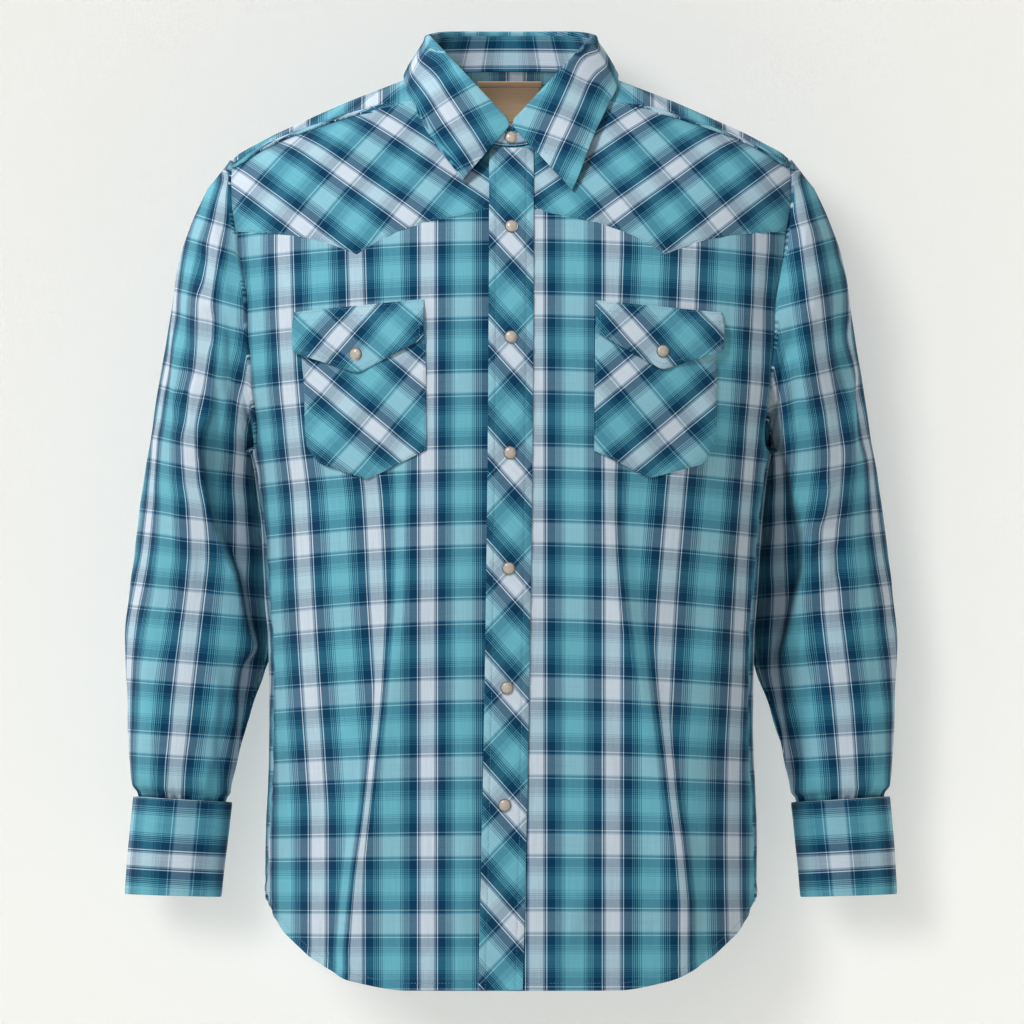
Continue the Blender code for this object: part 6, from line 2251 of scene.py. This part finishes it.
@dataclass
class Studio:
    """Pale sweep, soft lights and the camera."""

    wall_y: float = 0.160
    floor_z: float = -1.25
    pale: Shade = (0.700, 0.695, 0.672)
    glow: float = 0.370
    glow_shade: Shade = (1.0, 0.992, 0.952)
    world_shade: Shade = (1.0, 0.995, 0.98)
    world_strength: float = 0.24
    camera_at: tuple = (0.00085, -25.0, -0.3502)
    lens: float = 1034.0

    def sweep(self) -> Object:
        """Build the wall and floor, which let a view from behind or below through.

        Returns:
            The sweep.
        """
        bpy.ops.object.select_all(action="DESELECT")
        bpy.ops.mesh.primitive_plane_add(size=1.0, location=(0, 0, 0))
        sweep = bpy.context.object
        sweep.name = "sweep"
        mesh = sweep.data
        half, top, near, bend = 4.0, 4.0, -5.0, 0.25
        profile = [(self.wall_y, top)] + [
            (self.wall_y - bend + bend * math.cos(a), self.floor_z + bend - bend * math.sin(a))
            for a in np.linspace(0, math.pi / 2, 9)] + [(near, self.floor_z)]
        verts = [(x, y, z) for y, z in profile for x in (-half, half)]
        faces = [(2 * i + 2, 2 * i + 3, 2 * i + 1, 2 * i) for i in range(len(profile) - 1)]
        mesh.clear_geometry()
        mesh.from_pydata(verts, [], faces)
        mesh.shade_smooth()
        material, m, shader = start_material("pale_sweep")
        m.feed(shader, {"Base Color": self.pale, "Roughness": 0.9, "Specular IOR Level": 0.0,
                        "Emission Color": self.glow_shade, "Emission Strength": self.glow})
        behind, clear, either = m.add("NewGeometry"), m.add("BsdfTransparent"), m.add("MixShader")
        output = next(n for n in material.node_tree.nodes if n.type == "OUTPUT_MATERIAL")
        m.feed(either, {0: behind.outputs["Backfacing"], 1: shader.outputs[0], 2: clear.outputs[0]})
        m.feed(output, {"Surface": either.outputs[0]})
        mesh.materials.clear()
        mesh.materials.append(material)
        return sweep

    @staticmethod
    def light(name: str, kind: str, place: tuple, aim: tuple, energy: float, **shape: object) -> Object:
        """Add one light.

        Args:
            name: the light's name.
            kind: SUN, AREA or SPOT.
            place: where it stands; a sun's only sets where its light goes.
            aim: the point that it shines at.
            energy: a lamp's power in watts, or how bright a sun is.
            shape: its size and form, by Blender's names.

        Returns:
            The light.
        """
        data = bpy.data.lights.new(name, kind)
        data.energy = energy
        for key, value in shape.items():
            setattr(data, key, value)
        light = add_object(name, data)
        light.location = place
        light.rotation_euler = (Vector(aim) - Vector(place)).to_track_quat("-Z", "Y").to_euler()
        return light

    @staticmethod
    def linked(name: str, pieces: Sequence[Object], state: str) -> Collection:
        """Make a collection of what a light reaches alone (INCLUDE) or leaves out (EXCLUDE)."""
        group = bpy.data.collections.new(name)
        for piece in pieces:
            group.objects.link(piece)
        for link in group.collection_objects:
            link.light_linking.link_state = state
        return group

    def build(self, neck: Sequence[Object]) -> None:
        """Build the sweep, lights, world and camera.

        Args:
            neck: the pieces inside the neck, which have a small lamp of their own.
        """
        sweep, here = self.sweep(), (0, 0, 0)
        self.light("front_light", "SUN", here, (0.10, 1.0, -0.10), 0.24, angle=math.radians(11))
        fall = self.light("shadow_light", "SUN", here, (0.30, 1.0, -0.26), 0.92, angle=math.radians(14))
        fall.light_linking.receiver_collection = self.linked("lit_by_shadow_light", [sweep], "INCLUDE")
        spared = self.linked("lit_by_key", [sweep], "EXCLUDE")
        key = self.light("key", "AREA", (-1.50, -2.25, 1.80), (0, 0, -0.30), 83.0, shape="DISK", size=0.80)
        back_key = self.light("back_key", "SUN", here, (0.90, -0.62, -0.55), 1.15, angle=math.radians(8))
        for light in (key, back_key):
            light.light_linking.receiver_collection = spared
        back_key.light_linking.blocker_collection = self.linked("shading_back_key", [sweep], "EXCLUDE")
        inside = self.light("neck_light", "SPOT", (0.0, -0.80, 0.16), (0, 0.06, 0.01), 5.4,
                            spot_size=math.radians(13), spot_blend=0.5, shadow_soft_size=0.06)
        inside.light_linking.receiver_collection = self.linked("lit_by_neck_light", neck, "INCLUDE")
        world = bpy.data.worlds.new("studio")
        bpy.context.scene.world = world
        world.use_nodes = True
        NodeMaker(world.node_tree).feed(world.node_tree.nodes["Background"],
                                        {"Color": self.world_shade, "Strength": self.world_strength})
        data = bpy.data.cameras.new("camera")
        data.lens, data.sensor_width = self.lens, 36.0
        data.clip_start, data.clip_end = 1.0, 60.0
        camera = add_object("camera", data)
        camera.location = self.camera_at
        camera.rotation_euler = Euler((math.pi / 2, 0, 0))
        bpy.context.scene.camera = camera
        bpy.context.scene.view_settings.view_transform = "Standard"


# --- The whole shirt ---


@dataclass
class Shirt:
    """Builds and dresses every piece."""

    plaid: Material
    thread: Material
    pearl: Material
    rim: Material

    def dress(self, piece: Object, material: Material, slot: str, *nodes: str) -> Object:
        """Give a piece its finish, hang it from the root and hide the CAD parts that it stands for.

        Args:
            piece: the object.
            material: its finish.
            slot: the record's slot; not used.
            nodes: CAD nodes that it stands for.

        Returns:
            The piece.
        """
        piece.data.materials.clear()
        piece.data.materials.append(material)
        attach(piece, "root")
        if nodes:
            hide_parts(*nodes)
        LOG.info("%s: %d points, stands for %s", piece.name, len(piece.data.vertices),
                 ", ".join(nodes) or "nothing")
        return piece

    def cloth(self, cloth: Cloth, held: Held, rests_on: Sequence[str], finish: Material | None = None,
              slot: str = "shirting") -> Object:
        """Build, dress and declare one sheet.

        Args:
            cloth: the sheet.
            held: how it is held; not used.
            rests_on: what carries it; not used.
            finish: another material than the plaid.
            slot: the record's slot; passed on to dress, which doesn't use it.

        Returns:
            The piece.
        """
        piece = self.dress(cloth.build(), finish or self.plaid, slot, cloth.name)
        g = cloth.grid
        if cloth.closed:
            g = np.concatenate((g, g[:, :1]), axis=1)
        return piece

    def sew(self, name: str, lines: Sequence[SeamLine]) -> None:
        """Sew rows of stitches as one piece."""
        self.dress(Stitching(name).sew(lines), self.thread, "shirting")


class Rows:
    """How far the rows of stitches lie from their edges."""

    EDGE = 1.6 * MM
    BAG = 1.7 * MM
    LAP = 4.5 * MM
    STAND = 4.9 * MM
    PLACKET_TOP = 5.0 * MM
    LEAF = 6.0 * MM
    PLACKET = 6.2 * MM
    HEM = 6.4 * MM
    FLAP_TOP = 9.0 * MM


TAB_SHADES = {"neck_label": ((0.60, 0.405, 0.245), (0.16, 0.07, 0.04)),
              "care_label": ((0.74, 0.62, 0.46), (0.66, 0.55, 0.40))}


def build_body(shirt: Shirt) -> None:
    """Build the fronts, yokes, back and front strip.
    """
    for side in Side:
        front, yoke = Fronts().build(side), FrontYokes().build(side)
        shirt.cloth(front, Held.HUNG, (f"front_yoke_{side.tag}",))
        shirt.cloth(yoke, Held.HUNG, ("back_yoke",))
        shirt.sew(f"front_{side.tag}_stitches",
                  insets(front, Rows.HEM, "south") + insets(yoke, Rows.EDGE, "south"))
    back, cape = Back().build_back(), Back().build_yoke()
    shirt.cloth(back, Held.HUNG, ("back_yoke",))
    shirt.cloth(cape, Held.HUNG, ("collar_stand",))
    shoulders = [inset(cape, "north", Rows.EDGE, start, start + 0.26) for start in (0.0, 0.74)]
    shirt.sew("back_stitches",
              insets(back, Rows.HEM, "south") + insets(cape, Rows.EDGE, "south") + shoulders)
    strip = Placket().build()
    shirt.cloth(strip, Held.LAID, ("front_left",))
    shirt.sew("placket_stitches",
              insets(strip, Rows.PLACKET, "west", "east") + insets(strip, Rows.PLACKET_TOP, "north"))


def build_side(shirt: Shirt, side: Side) -> Places:
    """Build one side's pocket, flap, sleeve, strip and cuff.

    Args:
        side: which side.

    Returns:
        Place of each of their snaps.
    """
    pocket, sleeve, cuff = Pocket(side), Sleeve(side), Cuff(side)
    bag, flap = pocket.build_bag(), pocket.build_flap()
    shirt.cloth(bag, Held.LAID, (f"front_{side.tag}",))
    shirt.cloth(flap, Held.LAID, (f"pocket_{side.tag}",))
    shirt.sew(f"pocket_{side.tag}_stitches",
              insets(bag, Rows.BAG, "west", "east", "south") + insets(flap, Rows.LAP, "west", "east", "south")
              + insets(flap, Rows.EDGE, "north") + insets(flap, Rows.FLAP_TOP, "north"))
    strip, band = sleeve.build_strip(), cuff.build()
    shirt.cloth(sleeve.build(), Held.HUNG, (f"front_yoke_{side.tag}", "back_yoke"))
    shirt.cloth(strip, Held.LAID, (f"sleeve_{side.tag}",))
    shirt.cloth(band, Held.HUNG, (f"sleeve_{side.tag}",))
    shirt.sew(f"cuff_{side.tag}_stitches",
              insets(strip, Rows.EDGE, "west", "east", "south") + insets(band, Rows.BAG, "south")
              + insets(band, Rows.LAP, "west", "east", "north"))
    places = {f"snap_flap_{side.tag}": pocket.snap_place()}
    for number, place in enumerate(cuff.snap_places(), start=1):
        places[f"snap_cuff_{side.tag}_{number}"] = place
    return places


def build_collar(shirt: Shirt) -> Places:
    """Build the stand and the leaf.


    Returns:
        Place of the stand's snap.
    """
    collar = Collar()
    stand, leaf = collar.build_stand(), collar.build_leaf()
    shirt.cloth(stand, Held.HUNG, ("back_yoke",))
    shirt.cloth(leaf, Held.FOLDED, ("collar_stand",))
    shirt.sew("collar_stitches",
              insets(leaf, Rows.LEAF, "north", "west", "east") + insets(stand, Rows.STAND, "south")
              + insets(stand, Rows.EDGE, "west", "east"))
    return {"snap_stand": collar.snap_place()}


def build_tabs(shirt: Shirt, weave: NodeTree) -> None:
    """Build the tabs inside the back neck.

    Args:
        weave: the plain weave group.
    """
    for tab in TABS:
        half_width, half_height = (tab.right - tab.left) / 2, (tab.top - tab.bottom) / 2
        tape = TabFinish(weave, tab.name + "_tape", *TAB_SHADES[tab.name], half_width, half_height)
        shirt.cloth(NeckTabs().build(tab), Held.LAID, ("back_yoke",), tape.material(), "label")


def build_snaps(shirt: Shirt, places: Places) -> None:
    """Copy the modelled ring and cap to every place.

    Args:
        places: point on the cloth and outward direction of each snap.
    """
    snaps = PearlSnap()
    ring, cap = snaps.model_ring(), snaps.model_cap()
    for name, (base, normal) in places.items():
        shirt.dress(snaps.place(ring, name + "_ring", base, normal), shirt.rim, "pearl", name)
        shirt.dress(snaps.place(cap, name + "_cap", base, normal), shirt.pearl, "pearl", name)
    for spare in (ring, cap):
        bpy.data.objects.remove(spare, do_unlink=True)


def main() -> None:
    """Build the shirt and its studio in order."""
    logging.basicConfig(level=logging.INFO, format="%(name)s: %(message)s")
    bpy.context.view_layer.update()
    weave = weave_group()
    plaid = PlaidFinish(plaid_group(Sett(), weave)).material()
    shirt = Shirt(plaid, ThreadFinish().material(), PearlFinish().material(), RimFinish().material())
    build_body(shirt)
    places = build_side(shirt, Side.LEFT) | build_side(shirt, Side.RIGHT)
    build_snaps(shirt, places | build_collar(shirt) | Placket().snap_places())
    build_tabs(shirt, weave)
    neck = ("collar_stand", "back_yoke", "neck_label", "care_label")
    Studio().build([bpy.data.objects[f"cloth_{name}"] for name in neck])


if __name__ == "__main__":
    main()
